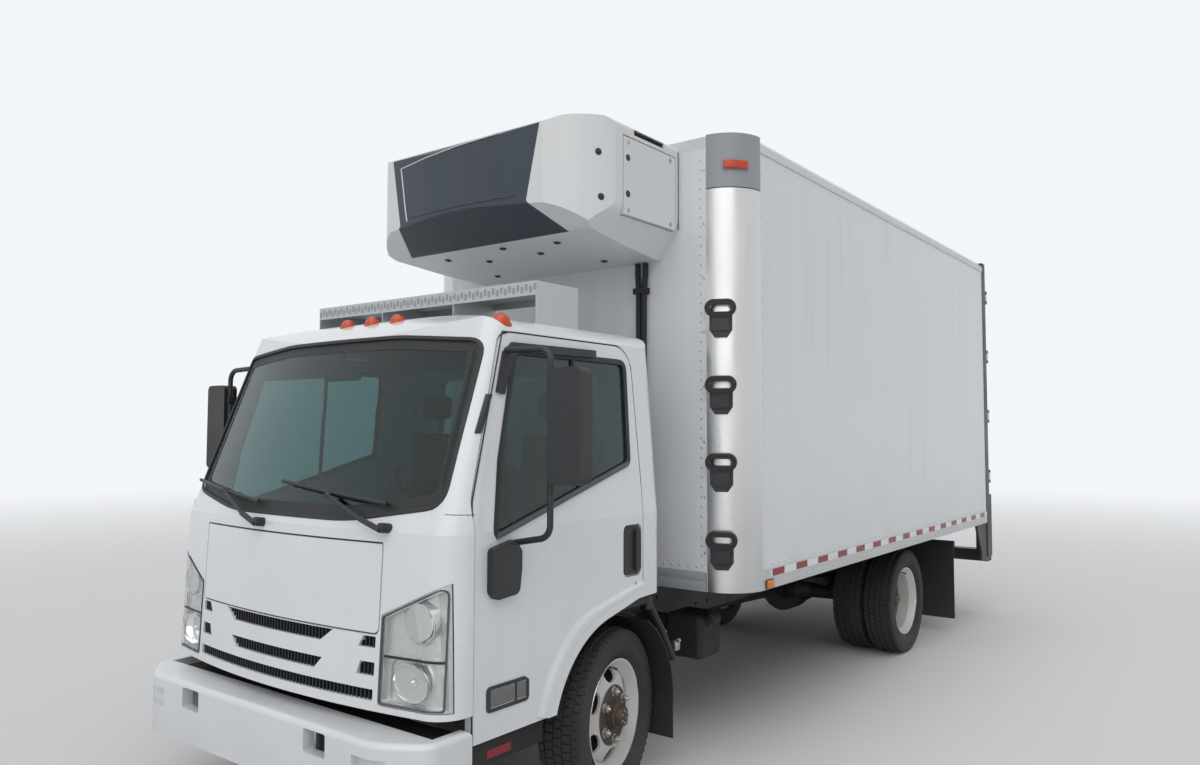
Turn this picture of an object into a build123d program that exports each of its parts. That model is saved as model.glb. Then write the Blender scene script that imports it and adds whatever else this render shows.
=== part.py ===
"""Refrigerated truck: low-cab-forward chassis, tilting cab, insulated box and a nose-mounted cooling unit.

Millimetres. Z is up, the truck faces -Y, and its own left (the driver's side) is +X.
The origin lies on the ground, at the middle of the truck's bounding box.
Places along the truck are given with back(d): d millimetres behind the front bumper's face.
"""
import math
import os
from build123d import *

# Whole truck
WHEELBASE = 3810
FRONT_OVERHANG = 1314        # bumper face to front axle
BOX_START = 2080             # bumper face to the box's front wall
BOX_LENGTH = 4966
DOCK_DEPTH = 150             # dock bumpers behind the box
BOX_END = BOX_START + BOX_LENGTH
OVERALL_LENGTH = BOX_END + DOCK_DEPTH

# Tyres, wheels and steering
TYRE_RADIUS = 405.5
TYRE_WIDTH = 226
BEAD_RADIUS = 248
FLANGE_RADIUS = 261
RIM_WIDTH = 176
RIM_WALL = 7
DISC_WALL = 12
HAND_HOLES = 6
HAND_HOLE_RADIUS = 184       # from the wheel's middle to the middle of a hole
HAND_HOLE_LONG = 74
HAND_HOLE_WIDE = 50
FRONT_TRACK = 1664           # between front tyre centres
REAR_TRACK = 1650            # between the middles of the twin tyres
DUAL_SPACING = 254
KINGPIN_X = 690
PIN_RADIUS = 20
PIN_FIT = 0.05
SPINDLE_RADIUS = 34
SPINDLE_DEPTH = 45           # how far the axle reaches into the hub
FRONT_DISC = 74              # disc's mounting face, outwards from the tyre's middle
FRONT_DISH = 46
REAR_DISH = 45
HUB_REACH = 84               # hub behind the disc's mounting face
HUB_RADIUS = 60
REAR_HUB = 120               # hub behind the mounting face of the twin wheels
REAR_HUB_PROUD = 158
STEER_REST = 10              # degrees to the left, as parked
TIE_IN = 82                  # tie rod's end, inwards from the kingpin
TIE_BACK = 195               # and behind it
TIE_RADIUS = 16
ARM_LOW = -92                # underside of the steering arm, from the hub's height
ARM_THICK = 22
STUD_RADIUS = 9
OPEN_FIT = 9                 # play of the tie rod's right end, which the arm's bore leaves
HUB_Z = TYRE_RADIUS
FRONT_AXLE = FRONT_OVERHANG
REAR_AXLE = FRONT_OVERHANG + WHEELBASE

# Chassis frame
FRAME_WIDTH = 850
FRAME_TOP = 800
RAIL_HEIGHT = 214
RAIL_FLANGE = 70
RAIL_WALL = 8
FRAME_START = 300
FRAME_TAIL = 160             # from the frame's end to the box's end
FLAP_BACK = 900              # rear mud flaps behind the rear axle

# Front bumper
BUMPER_LOW = 350
BUMPER_TOP = 612
BUMPER_SHELF = 32            # wall of the bumper's top

# Cab
CAB_HALF = 981
CAB_TOP_HALF = 898           # half width where the leaning sides would reach CAB_PEAK
CAB_LOW = 500
CAB_SKIRT = 665              # lower edge of the cab's front
CAB_WAIST = 1355
CAB_PEAK = 2320
CAB_ROOF = 2290
CAB_BACK = 1660
CAB_WALL = 45
NOSE = 95                    # bumper face to the middle of the cab's face at CAB_LOW
NOSE_WAIST = 135
NOSE_PEAK = 482
NOSE_BOW = 80
CORNER_RADIUS = 130
FACE_PROUD = 5               # lower front skin stands this far out under the cowl line
REAR_CORNER = 60
ARCH_RADIUS = 500
FLARE_WIDTH = 62
FLARE_PROUD = 9
FLOOR_TOP = 925
FLOOR_THICK = 30
GAP = 7                      # round doors and lids
LAMP_BACK = 255              # rear edge of the headlamps, behind the bumper
LAMP_SPLIT = 880
LID_TOP = 1314
LID_LOW = 954
LID_HALF = 648
DOOR_FRONT = 345
DOOR_BACK = 1492
DOOR_TOP = 2168
DOOR_BOTTOM = 548
HANDLE_BACK = 1481           # rear edge of the handle's pocket
GLASS = 6
TILT_BACK = 220              # cab tilt pivot, back from the bumper
TILT_Z = 780
TILT_TUBE = 25
ARCH_LINER = 482

# Box
BOX_HALF = 1219.2
BOX_BOTTOM = 893
BOX_TOP = 3393
WALL = 75
SKIN_INSET = 5               # the white panels lie this far inside the rails' faces
FLOOR_BASE = 995
CARGO_FLOOR = 1140
ROOF_THICK = 75
FRONT_WALL = 100
POST_RADIUS = 220
POST_TOP = 3090
PORTAL = 114
PORTAL_DEPTH = 100
SILL_TOP = 1165
LEAF = 80
HINGE_PROUD = 45

# Cooling unit
UNIT_HALF = 825
UNIT_TOP = 3370
UNIT_FRONT = 1155

# Mirrors on the doors
MIRROR_OUTER = 1345
MIRROR_STAND = 1170          # upright stretch of the mirror's tube
MIRROR_ARM = 572             # the tube's place behind the bumper

# Grab steps on the left corner post
STEP_LOW = 1116
STEP_PITCH = 416
STEP_COUNT = 4
STEP_TURN = 68               # where on the post they sit: 90 faces forwards, 0 faces left


def back(d):
    """Y of a place d millimetres behind the front bumper's face."""
    return d - OVERALL_LENGTH / 2


def block(x0, x1, d0, d1, z0, z1):
    """Box between two places on each axis."""
    size = Box(x1 - x0, d1 - d0, z1 - z0)
    return Pos((x0 + x1) / 2, back((d0 + d1) / 2), (z0 + z1) / 2) * size


def side_profile(points, x0, x1, radii=None):
    """Outline seen from the side, as (d, z) points, pulled from x0 to x1."""
    outline = [(back(d), z) for d, z in points]
    edge = FilletPolyline(*outline, radius=radii, close=True) if radii else Polyline(*outline, close=True)
    return Pos(x0, 0, 0) * extrude(Plane.YZ * make_face(edge), x1 - x0)


def front_profile(points, d0, d1, radii=None):
    """Outline seen from the front, as (x, z) points, pulled back from d0 to d1."""
    edge = FilletPolyline(*points, radius=radii, close=True) if radii else Polyline(*points, close=True)
    return Pos(0, back(d0), 0) * extrude(Plane.XZ * make_face(edge), -(d1 - d0))


def plan_profile(points, z0, z1, radii=None):
    """Outline seen from above, as (x, d) points, pulled up from z0 to z1."""
    outline = [(x, back(d)) for x, d in points]
    edge = FilletPolyline(*outline, radius=radii, close=True) if radii else Polyline(*outline, close=True)
    return Pos(0, 0, z0) * extrude(make_face(edge), z1 - z0)


def rod(start, end, radius):
    """Round bar between two (x, d, z) places."""
    a = Vector(start[0], back(start[1]), start[2])
    b = Vector(end[0], back(end[1]), end[2])
    plane = Plane(origin=a, z_dir=b - a)
    return extrude(plane * Circle(radius), (b - a).length)


def bent_tube(points, radius, bend):
    """Round tube along (x, d, z) places with a bend at each corner."""
    path = FilletPolyline(*[(x, back(d), z) for x, d, z in points], radius=bend)
    start = path @ 0
    return sweep(Plane(origin=start, z_dir=path % 0) * Circle(radius), path=path)


def both(shape):
    """A shape and its mirror image on the other side of the truck."""
    return [shape, mirror(shape, about=Plane.YZ)]


def on_side(shape, side):
    """A shape of the left side (side 1), or its mirror image for the right (side -1)."""
    return shape if side > 0 else mirror(shape, about=Plane.YZ)


def spun(profile):
    """Ring about the X axis from (x, radius) points."""
    return revolve(make_face(Polyline(*profile, close=True)), axis=Axis.X)


def at_hub(shape, x, d):
    return Pos(x, back(d), HUB_Z) * shape


# Wheels

def tyre():
    """Tyre about the X axis, its outer face towards +X."""
    half = TYRE_WIDTH / 2
    seat = RIM_WIDTH / 2 - 16
    profile = [(-seat, BEAD_RADIUS), (-seat - 5, FLANGE_RADIUS + 4), (-half, TYRE_RADIUS - 88),
               (-half * 0.95, TYRE_RADIUS - 34), (-half * 0.80, TYRE_RADIUS - 9),
               (-half * 0.45, TYRE_RADIUS),
               (half * 0.45, TYRE_RADIUS), (half * 0.80, TYRE_RADIUS - 9), (half * 0.95, TYRE_RADIUS - 34),
               (half, TYRE_RADIUS - 88), (seat + 5, FLANGE_RADIUS + 4), (seat, BEAD_RADIUS)]
    return spun(profile)


def rim(disc_x, dish):
    """Steel rim about the X axis with its disc's mounting face at disc_x and hand holes in the disc."""
    half = RIM_WIDTH / 2
    wall = RIM_WALL
    barrel = spun([(-half, FLANGE_RADIUS), (-half, FLANGE_RADIUS - 9), (-half + 20, BEAD_RADIUS - wall - 4),
                   (-half + 45, BEAD_RADIUS - wall - 22), (half - 45, BEAD_RADIUS - wall - 22),
                   (half - 20, BEAD_RADIUS - wall - 4), (half, FLANGE_RADIUS - 9), (half, FLANGE_RADIUS),
                   (half - 8, FLANGE_RADIUS), (half - 14, BEAD_RADIUS), (half - 20, BEAD_RADIUS - 1),
                   (half - 45, BEAD_RADIUS - 20), (-half + 45, BEAD_RADIUS - 20),
                   (-half + 20, BEAD_RADIUS - 1),
                   (-half + 14, BEAD_RADIUS), (-half + 8, FLANGE_RADIUS)])
    root = BEAD_RADIUS - wall - 20
    knee, edge = disc_x - dish * 0.2, disc_x - dish
    disc = spun([(disc_x - DISC_WALL, HUB_RADIUS), (disc_x, HUB_RADIUS), (disc_x, 148), (knee, 172),
                 (edge, 206),
                 (edge - 14, root), (edge - 28, root), (edge - DISC_WALL, 198), (knee - DISC_WALL, 166),
                 (disc_x - DISC_WALL, 142)])
    slot = SlotOverall(HAND_HOLE_LONG, HAND_HOLE_WIDE, rotation=90)
    hole = Pos(disc_x - dish / 2, 0, HAND_HOLE_RADIUS) * Rot(0, 90, 0) * extrude(slot, 90, both=True)
    for number in range(HAND_HOLES):
        disc -= Rot(360 / HAND_HOLES * number, 0, 0) * hole
    return barrel + disc


def hub(face, start, flange, proud):
    """Hub about the X axis: flange behind the disc at face, barrel and cap standing proud of it."""
    bore = SPINDLE_RADIUS + PIN_FIT
    tip = face + proud
    return spun([(start, bore), (start, flange), (face - DISC_WALL, flange), (face - DISC_WALL, HUB_RADIUS),
                 (face + proud * 0.4, HUB_RADIUS - 1), (face + proud * 0.5, HUB_RADIUS - 12),
                 (tip - 8, HUB_RADIUS - 14), (tip, HUB_RADIUS - 22), (tip, 0), (start + SPINDLE_DEPTH, 0),
                 (start + SPINDLE_DEPTH, bore)])


# Every piece goes into this table: node name -> solids
pieces = {}


def add(name, *shapes):
    solids = []
    for shape in shapes:
        items = shape if isinstance(shape, (list, tuple)) else [shape]
        for item in items:
            solids += item.solids()
    pieces[name] = solids


def steered(side):
    """Places a wheel-end shape modelled at the kingpin (straight ahead) in its parked, steered place."""
    return Pos(side * KINGPIN_X, back(FRONT_AXLE), HUB_Z) * Rot(0, 0, STEER_REST)


FRONT_OFFSET = FRONT_TRACK / 2 - KINGPIN_X
for name, side in (("left", 1), ("right", -1)):
    turn = Rot(0, 0, 0 if side > 0 else 180)
    place = steered(side)
    add(f"front_tyre_{name}", place * turn * Pos(FRONT_OFFSET, 0, 0) * tyre())
    wheel = rim(FRONT_DISC, FRONT_DISH) + hub(FRONT_DISC, FRONT_DISC - HUB_REACH, 120, 66)
    add(f"front_wheel_{name}", place * turn * Pos(FRONT_OFFSET, 0, 0) * wheel)
    outer = REAR_TRACK / 2 + DUAL_SPACING / 2
    inner = REAR_TRACK / 2 - DUAL_SPACING / 2
    add(f"rear_tyres_{name}", [at_hub(turn * Pos(x, 0, 0) * tyre(), 0, REAR_AXLE) for x in (outer, inner)])
    contact = REAR_TRACK / 2
    twin = Pos(outer, 0, 0) * rim(contact - outer + DISC_WALL, -REAR_DISH)
    twin += Pos(inner, 0, 0) * Rot(0, 0, 180) * rim(inner - contact + DISC_WALL, -REAR_DISH)
    twin += hub(contact, contact - REAR_HUB, 110, REAR_HUB_PROUD)
    add(f"rear_wheels_{name}", at_hub(turn * twin, 0, REAR_AXLE))

    ears = extrude(Circle(36), 92, both=True) + Box(132, 68, 184)
    ears -= Box(84, 90, 90)
    ears -= extrude(Circle(PIN_RADIUS + PIN_FIT), 100, both=True)
    knuckle = ears & Pos(15, 0, 0) * Box(102, 90, 184)
    seat = FRONT_OFFSET + FRONT_DISC - HUB_REACH
    knuckle += spun([(42, 0), (42, 52), (62, 52), (74, SPINDLE_RADIUS),
                     (seat + SPINDLE_DEPTH - 4, SPINDLE_RADIUS),
                     (seat + SPINDLE_DEPTH - 4, 0)])
    arm_plan = make_face(Polyline((30, 20), (30, -20), (-20, -20), (-104, 184), (-96, 214), (-64, 214),
                                  close=True))
    arm = Pos(0, 0, ARM_LOW) * extrude(arm_plan, ARM_THICK)
    arm -= Pos(0, 0, ARM_LOW) * extrude(Circle(PIN_RADIUS + PIN_FIT), ARM_THICK)
    play = PIN_FIT if side > 0 else OPEN_FIT
    arm -= Pos(-TIE_IN, TIE_BACK, ARM_LOW) * extrude(Circle(STUD_RADIUS + play), ARM_THICK)
    knuckle = turn * knuckle
    arm = arm if side > 0 else mirror(arm, about=Plane.YZ)
    add(f"knuckle_{name}", place * (knuckle + arm))


def arm_end(side):
    """Outer end of a steering arm at the parked angle, as (x, d)."""
    angle = math.radians(STEER_REST)
    x, y = -side * TIE_IN, TIE_BACK
    return (side * KINGPIN_X + x * math.cos(angle) - y * math.sin(angle),
            FRONT_AXLE + x * math.sin(angle) + y * math.cos(angle))


tie_z = HUB_Z + ARM_LOW - TIE_RADIUS - 6
left_end, right_end = arm_end(1), arm_end(-1)
tie_rod = rod((*right_end, tie_z), (*left_end, tie_z), TIE_RADIUS)
tie_rod += rod((*left_end, tie_z), (*left_end, HUB_Z + ARM_LOW + ARM_THICK + 12), STUD_RADIUS)
add("tie_rod", tie_rod)

# Chassis frame: two channel rails joined by crossmembers
frame_end = BOX_END - FRAME_TAIL
rail_low = FRAME_TOP - RAIL_HEIGHT
channel = [(FRAME_WIDTH / 2, rail_low), (FRAME_WIDTH / 2, FRAME_TOP),
           (FRAME_WIDTH / 2 - RAIL_FLANGE, FRAME_TOP),
           (FRAME_WIDTH / 2 - RAIL_FLANGE, FRAME_TOP - RAIL_WALL),
           (FRAME_WIDTH / 2 - RAIL_WALL, FRAME_TOP - RAIL_WALL),
           (FRAME_WIDTH / 2 - RAIL_WALL, rail_low + RAIL_WALL),
           (FRAME_WIDTH / 2 - RAIL_FLANGE, rail_low + RAIL_WALL),
           (FRAME_WIDTH / 2 - RAIL_FLANGE, rail_low)]
frame = Part() + both(front_profile(channel, FRAME_START, frame_end))
inside = FRAME_WIDTH / 2 - RAIL_WALL
for place in (FRAME_START + 10, 2300, 2880, 3430, 3970, REAR_AXLE - 620, REAR_AXLE + 640, 6290,
              frame_end - 70):
    frame += block(-inside, inside, place, place + 60, rail_low + 40, FRAME_TOP - 40)
tilt_tube = rod((-430, TILT_BACK, TILT_Z), (430, TILT_BACK, TILT_Z), TILT_TUBE)
frame += tilt_tube
for side in (1, -1):
    x0, x1 = sorted((side * 403, side * 425))
    frame += side_profile([(TILT_BACK - 20, TILT_Z - 40), (TILT_BACK - 20, TILT_Z + 16),
                           (420, TILT_Z + 16), (420, 620),
                           (300, 620)], x0, x1)
    frame += side_profile([(300, 660), (300, 577), (200, 577), (52, 577), (52, 450), (120, 450),
                           (400, 600), (400, 660)],
                          x0, x1)
frame += block(-440, 440, 1590, 1640, 860, 888)
for x0, x1 in ((-440, -400), (400, 440)):
    frame += block(x0, x1, 1590, 1640, 780, 888)
shelf_top = BUMPER_TOP - BUMPER_SHELF
frame += block(-930, 930, 165, DOOR_FRONT, shelf_top - 8, shelf_top)
frame += block(-600, 600, DOOR_FRONT, 430, shelf_top - 8, shelf_top)
add("frame", frame)

motor = fillet(block(-330, 330, 960, 1560, 470, 1060).edges(), 40)
gearbox = block(-190, 190, 1560, 2200, 440, 830)
add("engine", motor + gearbox)

# Front axle: a forged beam under the frame, with a fork at each kingpin
beam_z = HUB_Z - 30
front_axle = front_profile([(-640, beam_z + 20), (-520, beam_z - 60), (520, beam_z - 60),
                            (640, beam_z + 20),
                            (640, beam_z + 60), (520, beam_z + 20), (-520, beam_z + 20),
                            (-640, beam_z + 60)],
                           FRONT_AXLE - 35, FRONT_AXLE + 35)
for x in (-1, 1):
    front_axle += Pos(x * KINGPIN_X, back(FRONT_AXLE), HUB_Z) * extrude(Circle(PIN_RADIUS), 90, both=True)
    front_axle += Pos(x * KINGPIN_X, back(FRONT_AXLE), HUB_Z) * extrude(Circle(34), 38, both=True)
    front_axle += block(*sorted((x * 600, x * KINGPIN_X)), FRONT_AXLE - 26, FRONT_AXLE + 26, HUB_Z - 32,
                        HUB_Z + 32)
add("front_axle", front_axle)


def leaf_spring(x, axle, length, seat, eye, width, thick):
    """Leaf spring pack: bowed down between two eyes under the frame rail."""
    half = length / 2
    low = [(axle - half, eye), (axle - half * 0.5, seat + 30), (axle, seat), (axle + half * 0.5, seat + 30),
           (axle + half, eye)]
    outline = low + [(axle + half, eye + 14), (axle + half * 0.5, seat + thick * 0.8 + 30),
                     (axle, seat + thick),
                     (axle - half * 0.5, seat + thick * 0.8 + 30), (axle - half, eye + 14)]
    pack = side_profile(outline, x - width / 2, x + width / 2)
    for place in (axle - half, axle + half):
        pack += rod((x - width / 2, place, eye + 7), (x + width / 2, place, eye + 7), 26)
        inner = math.copysign(FRAME_WIDTH / 2, x)
        hanger = block(min(x - width / 2, inner), max(x + width / 2, inner), place - 22, place + 22,
                       eye + 20, FRAME_TOP - 60)
        pack += hanger
    return pack


springs = [leaf_spring(side * 390, FRONT_AXLE, 1150, beam_z + 20, 500, 66, 55) for side in (1, -1)]
springs += [leaf_spring(side * 490, REAR_AXLE, 1300, HUB_Z + 78, 600, 70, 90) for side in (1, -1)]
add("leaf_springs", [spring - frame for spring in springs])

bowl = Pos(0, back(REAR_AXLE), HUB_Z) * Rot(90, 0, 0) * Cylinder(185, 190)
tube_end = REAR_TRACK / 2 - REAR_HUB - 6
spindle_end = REAR_TRACK / 2 - REAR_HUB + SPINDLE_DEPTH - 4
half_housing = [(140, 120), (250, 62), (tube_end, 52), (tube_end, SPINDLE_RADIUS),
                (spindle_end, SPINDLE_RADIUS),
                (spindle_end, 0)]
housing = spun([(-x, r) for x, r in reversed(half_housing)] + half_housing)
rear_axle = bowl + at_hub(housing, 0, REAR_AXLE)
rear_axle += rod((0, REAR_AXLE - 230, HUB_Z), (0, REAR_AXLE, HUB_Z), 70)
for x in (-490, 490):
    rear_axle += block(x - 45, x + 45, REAR_AXLE - 70, REAR_AXLE + 70, HUB_Z, HUB_Z + 78)
rear_axle += rod((0, 2206, 530), (0, REAR_AXLE - 230, HUB_Z), 45)
add("rear_axle", rear_axle)
add("fuel_tank", fillet(block(-335, 335, REAR_AXLE + 720, 6680, 360,
                              rail_low + 34).edges().filter_by(Axis.Y), 70))
fluid_tank = fillet(block(620, 860, 2240, 2480, 470, 720).edges(), 35)
fluid_tank += rod((840, 2320, 670), (900, 2320, 715), 30)
fluid_tank += block(FRAME_WIDTH / 2, 640, 2300, 2340, 600, 690)
battery_box = fillet(block(-960, -520, 2500, 3060, 470, 790).edges().filter_by(Axis.Z), 20)
add("side_boxes", battery_box, fluid_tank)
add("exhaust", fillet(block(-960, -560, 3200, 3900, 430, 700).edges().filter_by(Axis.Y), 90))

# Front bumper: a deep channel with a wide top shelf, wrapped round the corners
bumper_out = plan_profile([(-993, 330), (-993, 120), (-800, 0), (800, 0), (993, 120), (993, 330)],
                          BUMPER_LOW, BUMPER_TOP, [1, 90, 160, 160, 90, 1])
bumper_out = fillet(bumper_out.edges().filter_by_position(Axis.Z, BUMPER_TOP - 1, BUMPER_TOP + 1), 24)
bumper_in = plan_profile([(-945, 400), (-945, 150), (-780, 50), (780, 50), (945, 150), (945, 400)],
                         BUMPER_LOW - 50, shelf_top, [1, 70, 120, 120, 70, 1])
bumper = bumper_out - bumper_in
bumper -= block(-945, 945, 170, 400, shelf_top - 20, BUMPER_TOP + 18)
for side in (1, -1):
    x0, x1 = sorted((side * 390, side * 530))
    bumper -= fillet(block(x0, x1, -10, 70, 498, 590).edges().filter_by(Axis.Y), 12)
    x0, x1 = sorted((side * 690, side * 850))
    bumper -= block(x0, x1, -10, 34, 470, 552)
add("front_bumper", bumper)


# Cab shell
def cab_section(z, inset, nose, half):
    """Outline of the cab seen from above, at height z, drawn inset inside the outer skin."""
    w = half - inset
    front = nose + inset
    shoulder = nose + NOSE_BOW + inset
    r = CORNER_RADIUS - inset * 0.6
    rear = CAB_BACK - inset
    q = max(REAR_CORNER - inset * 0.6, 10)
    bow = ThreePointArc((-(w - r), back(shoulder)), (0, back(front)), (w - r, back(shoulder)))
    s45 = math.sqrt(0.5)
    right = ThreePointArc((w - r, back(shoulder)), (w - r + r * s45, back(shoulder + r - r * s45)),
                          (w, back(shoulder + r)))
    side = Line((w, back(shoulder + r)), (w, back(rear - q)))
    turn = ThreePointArc((w, back(rear - q)), (w - q + q * s45, back(rear - q + q * s45)),
                         (w - q, back(rear)))
    tail = Line((w - q, back(rear)), (-(w - q), back(rear)))
    turn_b = ThreePointArc((-(w - q), back(rear)), (-(w - q + q * s45), back(rear - q + q * s45)),
                           (-w, back(rear - q)))
    side_b = Line((-w, back(rear - q)), (-w, back(shoulder + r)))
    left = ThreePointArc((-w, back(shoulder + r)), (-(w - r + r * s45), back(shoulder + r - r * s45)),
                         (-(w - r), back(shoulder)))
    return Pos(0, 0, z) * make_face([bow, right, side, turn, tail, turn_b, side_b, left])


def cab_solid(inset):
    """The cab's outer form, or the same form drawn inset inside it."""
    low = loft([cab_section(CAB_LOW, inset, NOSE, CAB_HALF),
                cab_section(CAB_WAIST, inset, NOSE_WAIST, CAB_HALF)],
               ruled=True)
    high = loft([cab_section(CAB_WAIST, inset, NOSE_WAIST, CAB_HALF),
                 cab_section(CAB_PEAK, inset, NOSE_PEAK, CAB_TOP_HALF)], ruled=True)
    top = CAB_ROOF - inset
    brow = make_face([Line((back(0), CAB_LOW - 100), (back(0), top - 190)),
                      Line((back(0), top - 190), (back(420 + inset), top - 130)),
                      ThreePointArc((back(420 + inset), top - 130), (back(580 + inset), top - 32),
                                    (back(830), top)),
                      Line((back(830), top), (back(CAB_BACK - 110), top)),
                      ThreePointArc((back(CAB_BACK - 110), top), (back(CAB_BACK - 30), top - 30),
                                    (back(CAB_BACK + 5), top - 130)),
                      Line((back(CAB_BACK + 5), top - 130), (back(CAB_BACK + 5), CAB_LOW - 100)),
                      Line((back(CAB_BACK + 5), CAB_LOW - 100), (back(0), CAB_LOW - 100))])
    side_view = Pos(-1100, 0, 0) * extrude(Plane.YZ * brow, 2200)
    edge = CAB_TOP_HALF - inset
    crown = make_face([Line((-1100, CAB_LOW - 100), (-1100, top - 190)),
                       Line((-1100, top - 190), (-edge - 22, top - 130)),
                       ThreePointArc((-edge - 22, top - 130), (-edge + 22, top - 74),
                                     (-edge + 90, top - 48)),
                       ThreePointArc((-edge + 90, top - 48), (0, top), (edge - 90, top - 48)),
                       ThreePointArc((edge - 90, top - 48), (edge - 22, top - 74), (edge + 22, top - 130)),
                       Line((edge + 22, top - 130), (1100, top - 190)),
                       Line((1100, top - 190), (1100, CAB_LOW - 100)),
                       Line((1100, CAB_LOW - 100), (-1100, CAB_LOW - 100))])
    front_view = Pos(0, back(0), 0) * extrude(Plane.XZ * crown, -(CAB_BACK + 10))
    return (low + high) & side_view & front_view


cab_outer = cab_solid(0)
cab_inner = cab_solid(CAB_WALL)

# What lies under the cab's lower edge: the nose, the sill, the wheel arch and the tail
arch_z = HUB_Z
under_edge = make_face([
    Line((back(-50), 300), (back(-50), CAB_SKIRT)),
    Line((back(-50), CAB_SKIRT), (back(DOOR_FRONT - GAP), CAB_SKIRT)),
    Line((back(DOOR_FRONT - GAP), CAB_SKIRT), (back(DOOR_FRONT - GAP), DOOR_BOTTOM)),
    Line((back(DOOR_FRONT - GAP), DOOR_BOTTOM), (back(FRONT_AXLE - 479), DOOR_BOTTOM)),
    ThreePointArc((back(FRONT_AXLE - 479), DOOR_BOTTOM), (back(FRONT_AXLE - 334), arch_z + 372),
                  (back(FRONT_AXLE - 114), arch_z + 487)),
    Line((back(FRONT_AXLE - 114), arch_z + 487), (back(FRONT_AXLE + 136), 948)),
    Line((back(FRONT_AXLE + 136), 948), (back(CAB_BACK + 100), 958)),
    Line((back(CAB_BACK + 100), 958), (back(CAB_BACK + 100), 300)),
    Line((back(CAB_BACK + 100), 300), (back(-50), 300))])
under_cab = Pos(-1100, 0, 0) * extrude(Plane.YZ * under_edge, 2200)
cowl_line = front_profile([(-1100, 300), (1100, 300), (1100, 1440), (CAB_HALF, 1420), (660, LID_TOP),
                           (-660, LID_TOP),
                           (-CAB_HALF, 1420), (-1100, 1440)], 0, DOOR_FRONT - GAP)
face_outer = cab_solid(-FACE_PROUD) & cowl_line
shell = (cab_outer + face_outer) - cab_inner - under_cab

door_outline = [(DOOR_FRONT, DOOR_BOTTOM - 60), (DOOR_FRONT, 1480), (DOOR_FRONT + 225, DOOR_TOP),
                (DOOR_BACK - 20, DOOR_TOP), (DOOR_BACK, 1500), (DOOR_BACK, DOOR_BOTTOM - 60)]
door_radii = [1, 200, 60, 130, 300, 1]


def grown(points, grow):
    """The door outline moved outwards by grow on every side but the bottom."""
    middle = (DOOR_FRONT + DOOR_BACK) / 2
    return [(d + (grow if d > middle else -grow), z + (grow if z > 2000 else 0)) for d, z in points]


door_cut = side_profile(grown(door_outline, GAP), 0, 1100, door_radii)
door_body = side_profile(door_outline, 0, 1100, door_radii)
door_cuts = both(door_cut)

screen_outline = [(-885, 1462), (-420, 1392), (420, 1392), (885, 1462), (852, 2132), (400, 2166),
                  (-400, 2166),
                  (-852, 2132)]
screen_radii = [90, 1500, 1500, 90, 80, 1500, 1500, 80]
screen_cut = front_profile(screen_outline, 0, 720, screen_radii)


def lid_outline(inset, radii):
    """Outline of the service lid, seen from the front."""
    half, low, high = LID_HALF - inset, LID_LOW + inset, LID_TOP - inset
    return front_profile([(-half, low), (half, low), (half, high), (-half, high)], 0, 400, radii)


lid_cut = lid_outline(0, [30, 30, 12, 12])
lid_body = lid_outline(GAP, [24, 24, 8, 8])
lamp_cut = front_profile([(655, 690), (1100, 690), (1100, 1230), (965, 1178), (655, 1035)], 0, LAMP_BACK,
                         [14, 1, 1, 26, 14])
lamp_cuts = both(lamp_cut)
grille_cut = front_profile([(-642, 668), (642, 668), (642, LID_LOW - 1), (-642, LID_LOW - 1)], 0, 400,
                           [20, 20, 4, 4])
rear_cut = front_profile([(-620, 1560), (620, 1560), (600, 2060), (-600, 2060)], CAB_BACK - 200,
                         CAB_BACK + 50,
                         [60, 60, 60, 60])

front_part = block(-1100, 1100, -50, DOOR_FRONT + 60, 400, 1392) - door_cuts
rear_part = block(-1100, 1100, CAB_BACK - CAB_WALL, CAB_BACK + 50, 400, DOOR_TOP + 20)
top_part = block(-1100, 1100, -50, CAB_BACK + 50, DOOR_TOP + 20, CAB_PEAK + 50)

cab_skin = shell - door_cuts
add("cab_front", (cab_skin & front_part) - lid_cut - lamp_cuts - grille_cut)
add("cab_roof", cab_skin & top_part)
add("cab_back", (cab_skin & rear_part) - rear_cut)
sides = cab_skin - front_part - top_part - rear_part - screen_cut
add("cab_pillars", sides)

pane = cab_solid(8) - cab_solid(8 + GLASS)
add("cab_glass", (pane & screen_cut) - door_cuts, pane & rear_cut)
add("service_lid", (cab_solid(-FACE_PROUD) - cab_solid(22)) & lid_body)

# Headlamps: a clear cover over a housing with a turn lamp above and a deep reflector below
cover_layer = cab_solid(-4) - cab_solid(1)
housing_layer = cab_solid(1) - cab_solid(40)
lamp_edge = front_profile([(672, 704), (1100, 704), (1100, 1210), (962, 1158), (672, 1022)], 0,
                          LAMP_BACK - 14,
                          [10, 1, 1, 22, 10])
split_bar = block(640, 1000, 0, LAMP_BACK, LAMP_SPLIT - 5, LAMP_SPLIT + 5)
pocket = (cab_solid(1) - cab_solid(24)) & lamp_edge
turn_lamp = Pos(829, back(225), 1020) * Rot(90, 0, 0) * Cone(92, 70, 60)
reflector = front_profile([(690, 706), (905, 706), (905, 866), (690, 866)], 0, LAMP_BACK + 20,
                          [30, 30, 30, 30])
bowl = (cab_solid(6) - cab_solid(34)) & reflector
lamp_housing = (housing_layer & lamp_cut) - (pocket - split_bar - turn_lamp) - bowl
add("headlamps", both(lamp_housing))
add("lamp_covers", both(cover_layer & lamp_cut))

grille_face = (cab_solid(-FACE_PROUD + 1) - cab_solid(26)) & grille_cut
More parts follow.
